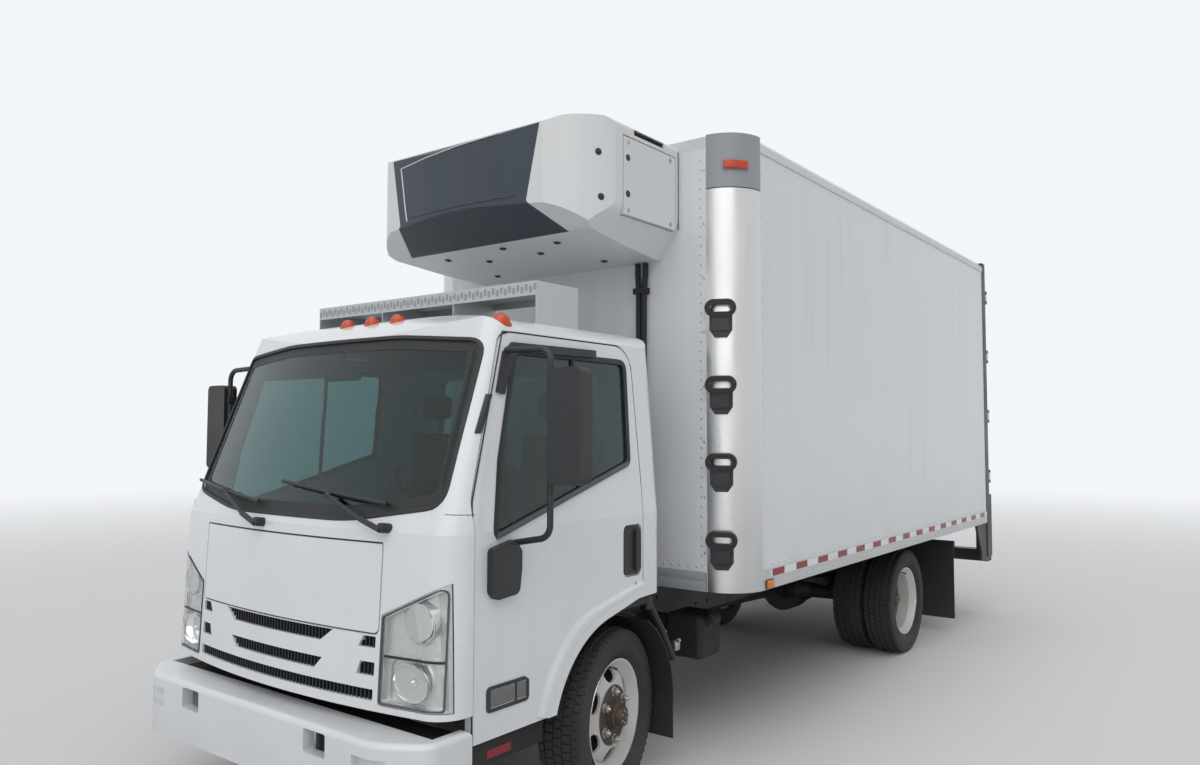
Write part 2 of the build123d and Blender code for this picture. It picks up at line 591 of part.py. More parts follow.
# Slots as half widths at the top and bottom, then heights of the top and bottom
slots = [(392, 320, 950, 899), (337, 291, 832, 785), (628, 628, 745, 702)]
slot_cuts = [front_profile([(-high, z1), (high, z1), (low, z0), (-low, z0)], 0, 400) for high, low, z1,
             z0 in slots]
side_slots = [(565, 538, 947, 903), (555, 535, 848, 796)]
for high, low, z1, z0 in side_slots:
    slot_cuts += both(front_profile([(high, z1), (630, z1), (630, z0), (low, z0)], 0, 400))
add("grille", grille_face - slot_cuts)

# Doors: outer form, opening for the window, pane set in it
window_outline = [(440, 1314), (1415, 1593), (1435, 2105), (622, 2105), (490, 1640)]
window_cut = side_profile(window_outline, 0, 1100, [40, 50, 60, 50, 60])
handle_outline = [(HANDLE_BACK - 150, 1060), (HANDLE_BACK, 1060), (HANDLE_BACK, 1308),
                  (HANDLE_BACK - 150, 1308)]
lamp_side = [(DOOR_FRONT + 69, 652), (DOOR_FRONT + 316, 652), (DOOR_FRONT + 316, 735),
             (DOOR_FRONT + 290, 752),
             (DOOR_FRONT + 69, 752)]
handle_cut = side_profile(handle_outline, CAB_HALF - 22, CAB_HALF + 40, [34, 34, 34, 34])
lamp_pocket = side_profile(lamp_side, CAB_HALF - 18, CAB_HALF + 40, [20, 20, 10, 14, 20])
handle_bar = side_profile([(HANDLE_BACK - 142, 1070), (HANDLE_BACK - 8, 1070), (HANDLE_BACK - 8, 1298),
                           (HANDLE_BACK - 142, 1298)], CAB_HALF - 20, CAB_HALF - 2, [28, 28, 28, 28])
grip = side_profile([(HANDLE_BACK - 60, 1085), (HANDLE_BACK - 22, 1085), (HANDLE_BACK - 22, 1283),
                     (HANDLE_BACK - 60, 1283)], CAB_HALF - 12, CAB_HALF + 12, [14, 14, 14, 14])
lamp_bezel = side_profile(lamp_side, CAB_HALF - 17, CAB_HALF + 5, [20, 20, 10, 14, 20])
lamp_bezel -= block(CAB_HALF - 5, CAB_HALF + 40, DOOR_FRONT + 90, DOOR_FRONT + 232, 666, 738)
lamp_bezel -= block(CAB_HALF - 5, CAB_HALF + 40, DOOR_FRONT + 242, DOOR_FRONT + 302, 666, 738)
visor_line = [(505, 1915), (560, 2085), (610, 2128), (1180, 2134), (1180, 2100), (640, 2090), (600, 2050),
              (542, 1905)]
visor = side_profile(visor_line, 0, 1100) & (cab_solid(-16) - cab_solid(-2))


def flare(radius, width, proud, x_skin):
    """Raised lip that follows the wheel arch and then runs back to the cab's rear corner, left side."""
    lip = spun([(x_skin - 12, radius), (x_skin + proud, radius), (x_skin + proud, radius + width - 24),
                (x_skin, radius + width), (x_skin - 12, radius + width)])
    lip = Pos(0, back(FRONT_AXLE), HUB_Z) * lip
    keep = side_profile([(FRONT_AXLE - 700, DOOR_BOTTOM), (FRONT_AXLE - 700, 1200), (FRONT_AXLE - 60, 1200),
                         (FRONT_AXLE - 60, DOOR_BOTTOM)], 0, 1200)
    run = [(FRONT_AXLE - 62, HUB_Z + radius - 3), (FRONT_AXLE + 136, 950), (CAB_BACK, 958),
           (CAB_BACK, 958 + width),
           (FRONT_AXLE + 136, 950 + width), (FRONT_AXLE - 62, HUB_Z + radius + width - 6)]
    return (lip & keep) + side_profile(run, x_skin - 12, x_skin + proud - 1)


left_flare = flare(ARCH_RADIUS, FLARE_WIDTH, FLARE_PROUD, CAB_HALF)
door_outer_cut = side_profile(door_outline, 0, 1200, door_radii)
door_flare = (left_flare & door_outer_cut) - under_cab
mirror_tube = bent_tube([(925, MIRROR_ARM, 2092), (MIRROR_STAND, MIRROR_ARM, 2085),
                         (MIRROR_STAND, MIRROR_ARM, 1335),
                         (CAB_HALF - 3, MIRROR_ARM, 1300)], 13, 60)
mirror_head = block(MIRROR_STAND + 5, MIRROR_OUTER, MIRROR_ARM - 32, MIRROR_ARM + 43, 1545, 2005)
mirror_head = fillet(mirror_head.edges().filter_by(Axis.Y), 28)
mirror_foot = side_profile([(413, 1120), (440, 1090), (570, 1100), (583, 1200), (583, 1270), (545, 1318),
                            (413, 1290)],
                           CAB_HALF + 1, CAB_HALF + 33, [20, 20, 30, 30, 20, 20, 20])
mirror_arm = (mirror_tube + mirror_head + mirror_foot) - cab_outer
for name, side in (("left", 1), ("right", -1)):
    skin = (shell & on_side(door_body, side)) - on_side(window_cut, side) + on_side(door_flare, side)
    add(f"door_{name}", skin - on_side(handle_cut, side) - on_side(lamp_pocket, side))
    add(f"door_glass_{name}", pane & on_side(window_cut, side))
    fittings = [mirror_arm, handle_bar + grip, lamp_bezel, visor]
    add(f"door_fittings_{name}", [on_side(fitting, side) for fitting in fittings])

# Cab floor with the engine tunnel, step wells and wheel-house walls
inner_half = CAB_HALF - CAB_WALL - 8
floor_low = FLOOR_TOP - FLOOR_THICK
floor = block(-inner_half, inner_half, 240, CAB_BACK - CAB_WALL, floor_low, FLOOR_TOP)
tunnel_out = block(-400, 400, 900, CAB_BACK - CAB_WALL, floor_low, 1130)
tunnel_in = block(-370, 370, 930, CAB_BACK + 20, floor_low - 10, 1100)
floor = floor + tunnel_out - tunnel_in
for side in (1, -1):
    x0, x1 = sorted((side * 620, side * inner_half))
    floor -= block(x0 - 4, x1 + 4, 356, 804, floor_low - 1, FLOOR_TOP + 1)
for side in (1, -1):
    x0, x1 = sorted((side * 300, side * 330))
    floor += side_profile([(TILT_BACK - 45, TILT_Z - 20), (TILT_BACK - 10, TILT_Z - 45),
                           (TILT_BACK + 30, TILT_Z - 40),
                           (TILT_BACK + 50, TILT_Z), (420, floor_low), (245, floor_low),
                           (TILT_BACK - 40, TILT_Z + 40)], x0, x1)
floor -= Pos(0, back(TILT_BACK), TILT_Z) * Rot(0, 90, 0) * Cylinder(TILT_TUBE + PIN_FIT, 900)
add("cab_floor", floor & cab_inner)
well = block(620, inner_half, 360, 800, 575, FLOOR_TOP) - block(645, 1100, 380, 780, 600, FLOOR_TOP + 10)
add("step_wells", both(well & cab_inner))


def arc_band(low, high, start, stop, x0, x1):
    """Curved guard round the front axle between two radii and two angles (0 points back, 90 up)."""
    def at(radius, angle):
        return (back(FRONT_AXLE) + radius * math.cos(math.radians(angle)),
                HUB_Z + radius * math.sin(math.radians(angle)))
    middle = (start + stop) / 2
    band = make_face([ThreePointArc(at(low, start), at(low, middle), at(low, stop)),
                      Line(at(low, stop), at(high, stop)),
                      ThreePointArc(at(high, stop), at(high, middle), at(high, start)),
                      Line(at(high, start), at(low, start))])
    return Pos(x0, 0, 0) * extrude(Plane.YZ * band, x1 - x0)


arch_liner = arc_band(ARCH_LINER, ARCH_LINER + 5, 66, 163, 640, CAB_HALF - CAB_WALL - 6)
grille_liner = (cab_solid(26) - cab_solid(32)) & grille_cut
add("cab_liners", both(arch_liner), grille_liner)

dash = side_profile([(250, 1130), (520, 1130), (560, 1300), (480, 1375), (250, 1375)], -926, 926,
                    [10, 40, 40, 60, 10])
column = rod((380, 470, 1150), (380, 690, 1440), 32)
add("dashboard", (dash & cab_inner) + column)
seat_parts = []
for x0, x1 in ((110, 640), (-780, 60)):
    cushion = fillet(block(x0, x1, 1000, 1440, 1135, 1270).edges(), 35)
    rest = side_profile([(1440, 1150), (1560, 1190), (1600, 1780), (1510, 1780)], x0, x1, [20, 40, 35, 35])
    seat_parts += [cushion, rest]
add("seats", seat_parts)
wheel_tilt = Plane(origin=(380, back(705), 1460), z_dir=(0, math.sin(math.radians(37)),
                                                         math.cos(math.radians(37))))
ring = wheel_tilt * (Torus(215, 14) + Cylinder(55, 30) + Box(420, 34, 14) + Box(34, 420, 14))
add("steering_wheel", ring)

lamps = []
for x in (-882, -187.5, 0, 187.5, 882):
    z = 2228 if abs(x) > 500 else 2288
    lamps.append(Pos(x * (0.965 if abs(x) > 500 else 1), back(614), z - 20) * Cylinder(26, 62) - cab_outer)
add("marker_lamps", lamps)

catwalk = block(-811, 811, 890, 1190, 2405, 2412)
catwalk += block(-811, 811, 890, 896, 2375, 2440)
catwalk += block(-811, 811, 1184, 1190, 2375, 2440)
for x in (-811, -270, 264, 805):
    catwalk += block(x, x + 6, 890, 1190, 2200, 2440)
add("catwalk", catwalk - cab_outer)


def quarter_post(z0, z1, radius, wall):
    """Rounded front corner of the box, left side."""
    centre = Pos(BOX_HALF - POST_RADIUS, back(BOX_START + POST_RADIUS), z0)
    ring = extrude(Circle(radius), z1 - z0)
    ring = ring - extrude(Circle(radius - wall), z1 - z0) if wall else ring
    quarter = Pos(radius / 2, -radius / 2, (z1 - z0) / 2) * Box(radius, radius, z1 - z0)
    return centre * (ring & quarter)


# Box
body_half = BOX_HALF - SKIN_INSET
wall_start = BOX_START + POST_RADIUS
wall_end = BOX_END - PORTAL_DEPTH
roof_base = BOX_TOP - ROOF_THICK
underframe = Part()
for side in (1, -1):
    underframe += block(*sorted((side * 340, side * 425)), BOX_START + 60, BOX_END - 120, FRAME_TOP,
                        BOX_BOTTOM + 2)
for number in range(13):
    place = BOX_START + 90 + number * (BOX_LENGTH - 250) / 12
    underframe += block(-body_half + 10, body_half - 10, place, place + 45, BOX_BOTTOM, FLOOR_BASE)
post_pair = both(quarter_post(BOX_BOTTOM, POST_TOP, POST_RADIUS, WALL))
deck = block(-body_half + WALL, body_half - WALL, BOX_START + FRONT_WALL, wall_end, FLOOR_BASE, CARGO_FLOOR)
add("box_floor", underframe + deck - post_pair)
front_half = BOX_HALF - POST_RADIUS
side_wall = block(body_half - WALL, body_half, wall_start, wall_end, FLOOR_BASE, roof_base)
front_wall = block(-front_half, front_half, BOX_START, BOX_START + FRONT_WALL, FLOOR_BASE, roof_base)
add("box_walls", both(side_wall), front_wall)
add("box_roof", front_profile([(-body_half, roof_base), (-body_half, BOX_TOP - 43),
                               (-body_half + 35, BOX_TOP - 8),
                              (body_half - 35, BOX_TOP - 8), (body_half, BOX_TOP - 43),
                               (body_half, roof_base)],
                             wall_start, wall_end)
    + block(-front_half, front_half, BOX_START, wall_start, roof_base, BOX_TOP - 8))


add("corner_posts", post_pair, both(quarter_post(POST_TOP, BOX_TOP, POST_RADIUS, 0)))
bottom_rail = front_profile([(BOX_HALF, BOX_BOTTOM), (BOX_HALF, 1003), (body_half, 1003),
                             (body_half, BOX_BOTTOM + 6),
                             (body_half - 8, BOX_BOTTOM + 6), (body_half - 8, BOX_BOTTOM)], wall_start,
                            wall_end)
top_rail = front_profile([(BOX_HALF, roof_base - 10), (BOX_HALF, BOX_TOP - 40), (BOX_HALF - 40, BOX_TOP),
                          (BOX_HALF - 90, BOX_TOP), (BOX_HALF - 90, BOX_TOP - 8),
                          (body_half - 35, BOX_TOP - 8),
                          (body_half, BOX_TOP - 43), (body_half, roof_base - 10)], wall_start, wall_end)
front_rail = block(-front_half, front_half, BOX_START - 4, BOX_START + 60, BOX_BOTTOM, FLOOR_BASE)
add("box_rails", both(bottom_rail), both(top_rail), front_rail - underframe)

portal_out = block(-BOX_HALF, BOX_HALF, wall_end, BOX_END, BOX_BOTTOM, BOX_TOP)
portal_in = block(-BOX_HALF + PORTAL, BOX_HALF - PORTAL, wall_end - 1, BOX_END + 1, SILL_TOP,
                  BOX_TOP - PORTAL)
portal = portal_out - portal_in
pin_x = BOX_HALF - 12
pin_d = BOX_END + HINGE_PROUD
hinge_heights = (1330, 1910, 2490, 3070)
for z in hinge_heights:
    for x in (-pin_x, pin_x):
        for low in (z - 62, z + 34):
            portal += rod((x, pin_d, low), (x, pin_d, low + 28), 16)
            portal += block(x - 12, x + 12, BOX_END, pin_d - 8, low, low + 28)
add("box_rear_frame", portal)
leaf_half = BOX_HALF - PORTAL - GAP
for name, side in (("left", 1), ("right", -1)):
    leaf = block(*sorted((side * 4, side * leaf_half)), BOX_END - LEAF, BOX_END, SILL_TOP + GAP,
                 BOX_TOP - PORTAL - GAP)
    for z in hinge_heights:
        leaf += rod((side * pin_x, pin_d, z - 31), (side * pin_x, pin_d, z + 31), 16)
        leaf += block(*sorted((side * (leaf_half - 160), side * (pin_x - 2))), pin_d - 12, pin_d, z - 28,
                      z + 28)
        leaf += block(*sorted((side * (leaf_half - 160), side * (leaf_half - 10))), BOX_END, pin_d - 10,
                      z - 28, z + 28)
    leaf += rod((side * 260, BOX_END + 28, SILL_TOP + 20), (side * 260, BOX_END + 28,
                                                            BOX_TOP - PORTAL - 20), 13)
    for z in (SILL_TOP + 120, 1800, 2500, BOX_TOP - PORTAL - 120):
        leaf += block(side * 260 - 24, side * 260 + 24, BOX_END, BOX_END + 22, z - 30, z + 30)
    add(f"box_door_{name}", leaf)

# Folding grab steps on the left corner post: a shield-shaped foot and a loop that stands out from it
step_angle = math.radians(STEP_TURN)
step_x = BOX_HALF - POST_RADIUS + POST_RADIUS * math.cos(step_angle)
step_d = BOX_START + POST_RADIUS - POST_RADIUS * math.sin(step_angle)
foot_face = make_face(Polyline((-62, 40), (62, 40), (62, -60), (34, -100), (-34, -100), (-62, -60),
                               close=True))
loop_out = SlotOverall(170, 96)
loop_in = SlotOverall(118, 42)
grab_steps = []
for number in range(STEP_COUNT):
    stand = Plane(origin=(step_x, back(step_d), STEP_LOW + STEP_PITCH * number),
                  x_dir=(math.sin(step_angle), math.cos(step_angle), 0),
                  z_dir=(math.cos(step_angle), -math.sin(step_angle), 0))
    foot = extrude(stand * foot_face, 16) + extrude(stand * Pos(0, -20, 0) * Rectangle(90, 90), 26)
    tilted = stand * Pos(0, 62, 14) * Rot(12, 0, 0)
    loop = extrude(tilted * (loop_out - loop_in), 26) + extrude(tilted * Pos(0, -48, 0) * Rectangle(110,
                                                                                                    34), 24)
    grab_steps.append((foot + loop) - post_pair[0])
add("grab_steps", grab_steps)

# Rear underrun bar, its side plates and the dock bumpers
under = block(-1190, 1190, BOX_END + 20, BOX_END + DOCK_DEPTH, 510, 620)
for side in (1, -1):
    x0, x1 = sorted((side * 1170, side * 1190))
    under += side_profile([(6690, BOX_BOTTOM), (6860, 620), (6860, 540), (BOX_END + 130, 510),
                           (BOX_END + 130, BOX_BOTTOM)], x0, x1)
    x0, x1 = sorted((side * 1090, side * 1200))
    under += block(x0, x1, BOX_END, BOX_END + DOCK_DEPTH, 560, 1150)
add("rear_underrun", under - portal)

flap_z = (130, FRAME_TOP)
rear_flaps = [block(*sorted((side * 560, side * 1165)), REAR_AXLE + FLAP_BACK, REAR_AXLE + FLAP_BACK + 8,
                    *flap_z)
              + block(*sorted((side * FRAME_WIDTH / 2, side * 1165)), REAR_AXLE + FLAP_BACK + 8,
                      REAR_AXLE + FLAP_BACK + 40, 740, FRAME_TOP)
              for side in (1, -1)]
front_guards = [arc_band(ARCH_LINER, ARCH_LINER + 6, -5, 58, *sorted((side * 640, side * 960)))
                + block(*sorted((side * 640, side * 960)), FRONT_AXLE + 478, FRONT_AXLE + 484, 190, HUB_Z)
                + block(*sorted((side * 425, side * 660)), FRONT_AXLE + 400, FRONT_AXLE + 430, 690, 730)
                for side in (1, -1)]
add("mudguards", rear_flaps, front_guards)

# Cooling unit on the nose of the box
unit_edge = make_face([
    Line((UNIT_HALF, back(BOX_START)), (UNIT_HALF, back(1640))),
    ThreePointArc((UNIT_HALF, back(1640)), (770, back(1345)), (575, back(1192))),
    ThreePointArc((575, back(1192)), (0, back(UNIT_FRONT)), (-575, back(1192))),
    ThreePointArc((-575, back(1192)), (-770, back(1345)), (-UNIT_HALF, back(1640))),
    Line((-UNIT_HALF, back(1640)), (-UNIT_HALF, back(BOX_START))),
    Line((-UNIT_HALF, back(BOX_START)), (UNIT_HALF, back(BOX_START)))])
unit_plan = Pos(0, 0, 2600) * extrude(unit_edge, 900)
unit_side = side_profile([(BOX_START, 2720), (1700, 2745), (1375, 2780), (UNIT_FRONT - 5, 2925),
                          (UNIT_FRONT, 3285),
                          (1240, 3340), (1600, UNIT_TOP), (BOX_START, UNIT_TOP)], -1000, 1000,
                         [1, 200, 60, 60, 40, 100, 200, 1])
unit_front_view = front_profile([(-UNIT_HALF, 2900), (-690, 2700), (690, 2700), (UNIT_HALF, 2900),
                                 (UNIT_HALF, 3345),
                                 (740, UNIT_TOP + 5), (-740, UNIT_TOP + 5), (-UNIT_HALF, 3345)], 1000, 2200,
                                [120, 90, 90, 120, 30, 60, 60, 30])
unit = unit_plan & unit_side & unit_front_view
nose_face = front_profile([(-578, 3400), (-480, 2920), (-610, 2770), (-500, 2600), (500, 2600),
                           (610, 2770), (480, 2920),
                           (578, 3400)], 1000, 1500)
nose_depth = side_profile([(1000, 2600), (1380, 2600), (1380, 2800), (1210, 2945), (1205, 3290),
                           (1175, 3420), (1000, 3420)],
                          -1000, 1000)
grey_face = unit & nose_face & nose_depth
add("unit_front_panel", grey_face)
housing = unit - grey_face
door_recess = block(UNIT_HALF - 30, UNIT_HALF + 5, 1540, 2045, 2868, 3290)
panel = block(UNIT_HALF - 26, UNIT_HALF, 1540 + GAP, 2045 - GAP, 2868 + GAP, 3290 - GAP)
for recess in both(door_recess):
    housing -= recess
housing -= both(block(UNIT_HALF - 60, UNIT_HALF + 5, 1640, 1930, UNIT_TOP - 62, UNIT_TOP - 30))
add("unit_housing", housing)
for name, door in zip(("left", "right"), both(panel)):
    add(f"unit_door_{name}", door)
# Two hoses down the front wall: they draw together at a clamp under the unit
hose_d = BOX_START - 24
clamp_z = 2560
hoses = []
for top, low in ((560, 566), (612, 602)):
    hoses.append(bent_tube([(top, hose_d, 2716), (top, hose_d, clamp_z + 90), (low, hose_d, clamp_z - 20),
                            (low, hose_d, 900)], 16, 120))
hoses.append(block(540, 628, BOX_START - 46, BOX_START, clamp_z - 18, clamp_z + 14) - hoses)
add("unit_hoses", hoses)
add("evaporator", fillet(block(-620, 620, BOX_START + FRONT_WALL, BOX_START + 420, 2900, roof_base).edges()
                         .filter_by(Axis.X), 40))

os.makedirs("parts", exist_ok=True)
for name, solids in pieces.items():
    export_step(Compound(children=solids), f"parts/{name}.step")
    print(name, len(solids))
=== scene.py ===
# %% [markdown]
# A refrigerated truck stands on a pale studio floor. The solid parts come in as a fixed frame,
# so every size and every hinge is already right. What is left to do here is what the eye reads
# first: paint, glass, rubber, and the small things that are fixed to the big ones.

# %% Load the solid parts
import math
import bpy
from mathutils import Matrix, Vector


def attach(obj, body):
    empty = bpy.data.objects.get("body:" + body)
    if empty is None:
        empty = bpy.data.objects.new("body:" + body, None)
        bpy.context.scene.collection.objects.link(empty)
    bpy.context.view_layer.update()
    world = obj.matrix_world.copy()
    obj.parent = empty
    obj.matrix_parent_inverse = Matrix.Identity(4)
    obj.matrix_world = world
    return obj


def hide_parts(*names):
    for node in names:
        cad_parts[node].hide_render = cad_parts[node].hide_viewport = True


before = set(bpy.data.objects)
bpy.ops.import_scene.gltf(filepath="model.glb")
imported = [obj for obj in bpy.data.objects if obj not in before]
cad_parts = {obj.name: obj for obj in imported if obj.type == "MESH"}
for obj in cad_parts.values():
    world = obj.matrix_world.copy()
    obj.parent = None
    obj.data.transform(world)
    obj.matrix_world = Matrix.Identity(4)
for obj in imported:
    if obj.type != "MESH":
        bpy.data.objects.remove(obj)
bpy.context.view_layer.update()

# %% [markdown]
# Places along the truck are easiest to think of as distances behind the bumper's face. One small
# helper turns such a distance into the frame's Y, and the same helper serves every piece below.

# %% Distances along the truck
LENGTH = 7.196


def back(distance):
    """Y of a place this many metres behind the front bumper's face."""
    return distance - LENGTH / 2


print("bumper face at", round(back(0), 3), "and tail at", round(back(LENGTH), 3))

# %% [markdown]
# The camera stands at eye height in front of the truck's left corner and looks a little upwards.
# It is built from three directions, forward, right and up, because a matrix made of them can't
# tip over the way three separate angles can. Its last column is the place of the lens.

# %% Camera
YAW = math.radians(37.228)
PITCH = math.radians(3.122)
ROLL = math.radians(0.140)
FOCAL, FILM_WIDE = 26.878, 36
EYE = (3.4853, -5.750, 1.7544)
forward = Vector((-math.sin(YAW) * math.cos(PITCH), math.cos(YAW) * math.cos(PITCH), math.sin(PITCH)))
level = Vector((math.cos(YAW), math.sin(YAW), 0))
upward = level.cross(forward)
right = level * math.cos(ROLL) + upward * math.sin(ROLL)
top = upward * math.cos(ROLL) - level * math.sin(ROLL)

lens = bpy.data.cameras.new("camera")
lens.sensor_width = FILM_WIDE
lens.lens = FOCAL
camera = bpy.data.objects.new("camera", lens)
camera.matrix_world = Matrix((
    (right.x, top.x, -forward.x, EYE[0]),
    (right.y, top.y, -forward.y, EYE[1]),
    (right.z, top.z, -forward.z, EYE[2]),
    (0, 0, 0, 1)))
bpy.context.collection.objects.link(camera)
bpy.context.scene.camera = camera
print("camera stands", round(camera.location.z, 2), "m above the floor")

# %% [markdown]
# The light is that of a large studio with a white ceiling. A world of even light fills every
# corner, and two very wide suns, one overhead and one from the front, give the forms their
# shade without a hard edge anywhere. A sun lights near and far ground alike, so the floor stays
# even. The camera, mirrors and panes see the world as a plain pale backdrop, which the Light Path
# node can tell apart from the rays that light the paint.

# %% Light and background
scene = bpy.context.scene
scene.view_settings.view_transform = "Standard"
BACKDROP = (0.90, 0.92, 0.94, 1)
ROOM_LIGHT, ROOM_POWER = (0.95, 0.97, 1.0, 1), 0.42
world = bpy.data.worlds.new("studio")
scene.world = world
world.use_nodes = True
tree = world.node_tree
tree.nodes.clear()
soft = tree.nodes.new("ShaderNodeBackground")
soft.inputs["Color"].default_value = ROOM_LIGHT
soft.inputs["Strength"].default_value = ROOM_POWER
white = tree.nodes.new("ShaderNodeBackground")
white.inputs["Color"].default_value = BACKDROP
white.inputs["Strength"].default_value = 1.0
seen = tree.nodes.new("ShaderNodeLightPath")
either = tree.nodes.new("ShaderNodeMath")
either.operation = "MAXIMUM"
any_of = tree.nodes.new("ShaderNodeMath")
any_of.operation = "MAXIMUM"
mixer = tree.nodes.new("ShaderNodeMixShader")
sky = tree.nodes.new("ShaderNodeOutputWorld")
tree.links.new(seen.outputs["Is Camera Ray"], either.inputs[0])
tree.links.new(seen.outputs["Is Glossy Ray"], either.inputs[1])
tree.links.new(either.outputs[0], any_of.inputs[0])
tree.links.new(seen.outputs["Is Transmission Ray"], any_of.inputs[1])
tree.links.new(any_of.outputs[0], mixer.inputs["Fac"])
tree.links.new(soft.outputs[0], mixer.inputs[1])
tree.links.new(white.outputs[0], mixer.inputs[2])
tree.links.new(mixer.outputs[0], sky.inputs["Surface"])


def wide_sun(name, toward, power, spread):
    """Soft sun that shines along a direction; spread is its size in the sky, in degrees."""
    light = bpy.data.lights.new(name, "SUN")
    light.energy = power
    light.angle = math.radians(spread)
    lamp = bpy.data.objects.new(name, light)
    lamp.location = (0, 0, 8)
    lamp.rotation_euler = Vector(toward).to_track_quat("-Z", "Y").to_euler()
    bpy.context.collection.objects.link(lamp)


wide_sun("ceiling_sun", (-0.25, 0.35, -1.0), 1.15, 70)
wide_sun("front_sun", (-0.45, 1.0, -0.55), 0.62, 60)

# %% [markdown]
# The floor is a large pale disc. Far out it fades into the backdrop, so that no horizon cuts
# across the picture. The fade is a ramp on the distance from the middle, and the mix happens in
# the material itself.

# %% Floor
FLOOR_RADIUS = 40
FADE_FROM, FADE_TO = 6, 26
bpy.ops.object.select_all(action="DESELECT")
bpy.ops.mesh.primitive_circle_add(vertices=96, radius=FLOOR_RADIUS, fill_type="NGON", location=(0, 0, 0))
floor = bpy.context.object
floor.name = "floor"
paint = bpy.data.materials.new("pale_floor")
paint.use_nodes = True
nodes = paint.node_tree.nodes
link = paint.node_tree.links.new
shader = nodes["Principled BSDF"]
shader.inputs["Base Color"].default_value = (0.70, 0.705, 0.71, 1)
shader.inputs["Roughness"].default_value = 0.8
shader.inputs["Specular IOR Level"].default_value = 0.15
place = nodes.new("ShaderNodeTexCoord")
reach = nodes.new("ShaderNodeVectorMath")
reach.operation = "LENGTH"
fade = nodes.new("ShaderNodeMapRange")
fade.interpolation_type = "SMOOTHSTEP"
fade.inputs["From Min"].default_value = FADE_FROM
fade.inputs["From Max"].default_value = FADE_TO
clear = nodes.new("ShaderNodeBsdfTransparent")
blend = nodes.new("ShaderNodeMixShader")
link(place.outputs["Object"], reach.inputs[0])
link(reach.outputs["Value"], fade.inputs["Value"])
link(fade.outputs["Result"], blend.inputs["Fac"])
link(shader.outputs[0], blend.inputs[1])
link(clear.outputs[0], blend.inputs[2])
link(blend.outputs[0], nodes["Material Output"].inputs["Surface"])
floor.data.materials.append(paint)
print("floor radius", FLOOR_RADIUS, "m")

# %% [markdown]
# A material is a tree of nodes, and most of its steps are the same few: a group with named
# sockets, a sum, a ramp, a noise, and the place on the object. One small helper for each keeps
# the finishes below short.

# %% Node helpers
def new_group(name, inputs, outputs):
    """Empty shader node group with float inputs (name, value) and outputs (name, socket type)."""
    group = bpy.data.node_groups.new(name, "ShaderNodeTree")
    for label, value in inputs:
        socket = group.interface.new_socket(name=label, in_out="INPUT", socket_type="NodeSocketFloat")
        socket.default_value = value
    for label, kind in outputs:
        group.interface.new_socket(name=label, in_out="OUTPUT", socket_type=kind)
    start = group.nodes.new("NodeGroupInput")
    end = group.nodes.new("NodeGroupOutput")
    return group, start, end


def math_node(tree, kind, *values):
    """Math node whose inputs are sockets to link or plain numbers; returns its output."""
    node = tree.nodes.new("ShaderNodeMath")
    node.operation = kind
    for socket, value in zip(node.inputs, values):
        if isinstance(value, (int, float)):
            socket.default_value = value
        else:
            tree.links.new(value, socket)
    return node.outputs[0]


def ramp(tree, value, low, high, out_low=0.0, out_high=1.0):
    """Clamped straight ramp of a value; returns its output."""
    node = tree.nodes.new("ShaderNodeMapRange")
    for label, number in (("From Min", low), ("From Max", high), ("To Min", out_low), ("To Max", out_high)):
        if isinstance(number, (int, float)):
            node.inputs[label].default_value = number
        else:
            tree.links.new(number, node.inputs[label])
    tree.links.new(value, node.inputs["Value"])
    return node.outputs["Result"]


def noise_node(tree, vector, scale, detail=2.0):
    """Noise value over the given coordinates."""
    node = tree.nodes.new("ShaderNodeTexNoise")
    node.inputs["Detail"].default_value = detail
    if isinstance(scale, (int, float)):
        node.inputs["Scale"].default_value = scale
    else:
        tree.links.new(scale, node.inputs["Scale"])
    tree.links.new(vector, node.inputs["Vector"])
    return node.outputs["Fac"]


def object_place(tree):
    """Object coordinates, whole and split into X, Y and Z."""
    place = tree.nodes.new("ShaderNodeTexCoord").outputs["Object"]
    split = tree.nodes.new("ShaderNodeSeparateXYZ")
    tree.links.new(place, split.inputs[0])
    return place, split.outputs


print("node helpers ready")

# %% [markdown]
# Several finishes share the same effects: dust that gathers low down, streaks that rain leaves on
# a tall panel, and fine unevenness that breaks up a reflection. Each effect is a node group with
# named sockets, built once and placed in every material that needs it with its own values.

# %% Shared effects
def dust_group():
    """Dust mask: thick near the ground, thinner higher up, broken up by noise."""
    group, start, end = new_group("road_dust", [("Top", 1.2), ("Amount", 0.5), ("Scale", 3.0)],
                                  [("Mask", "NodeSocketFloat")])
    place, axes = object_place(group)
    height = ramp(group, axes["Z"], 0.0, start.outputs["Top"], 1.0, 0.0)
    patches = ramp(group, noise_node(group, place, start.outputs["Scale"], 6.0), 0.3, 0.7)
    mask = math_node(group, "MULTIPLY", height, patches)
    mask = math_node(group, "MULTIPLY", mask, start.outputs["Amount"])
    group.links.new(mask, end.inputs["Mask"])
    return group


def ripple_group():
    """Fine unevenness of a surface, as a value round 0.5 and a height."""
    group, start, end = new_group("surface_ripple", [("Scale", 40.0)],
                                  [("Value", "NodeSocketFloat"), ("Height", "NodeSocketFloat")])
    place, _ = object_place(group)
    group.links.new(noise_node(group, place, 2.5, 4.0), end.inputs["Value"])
    group.links.new(noise_node(group, place, start.outputs["Scale"]), end.inputs["Height"])
    return group


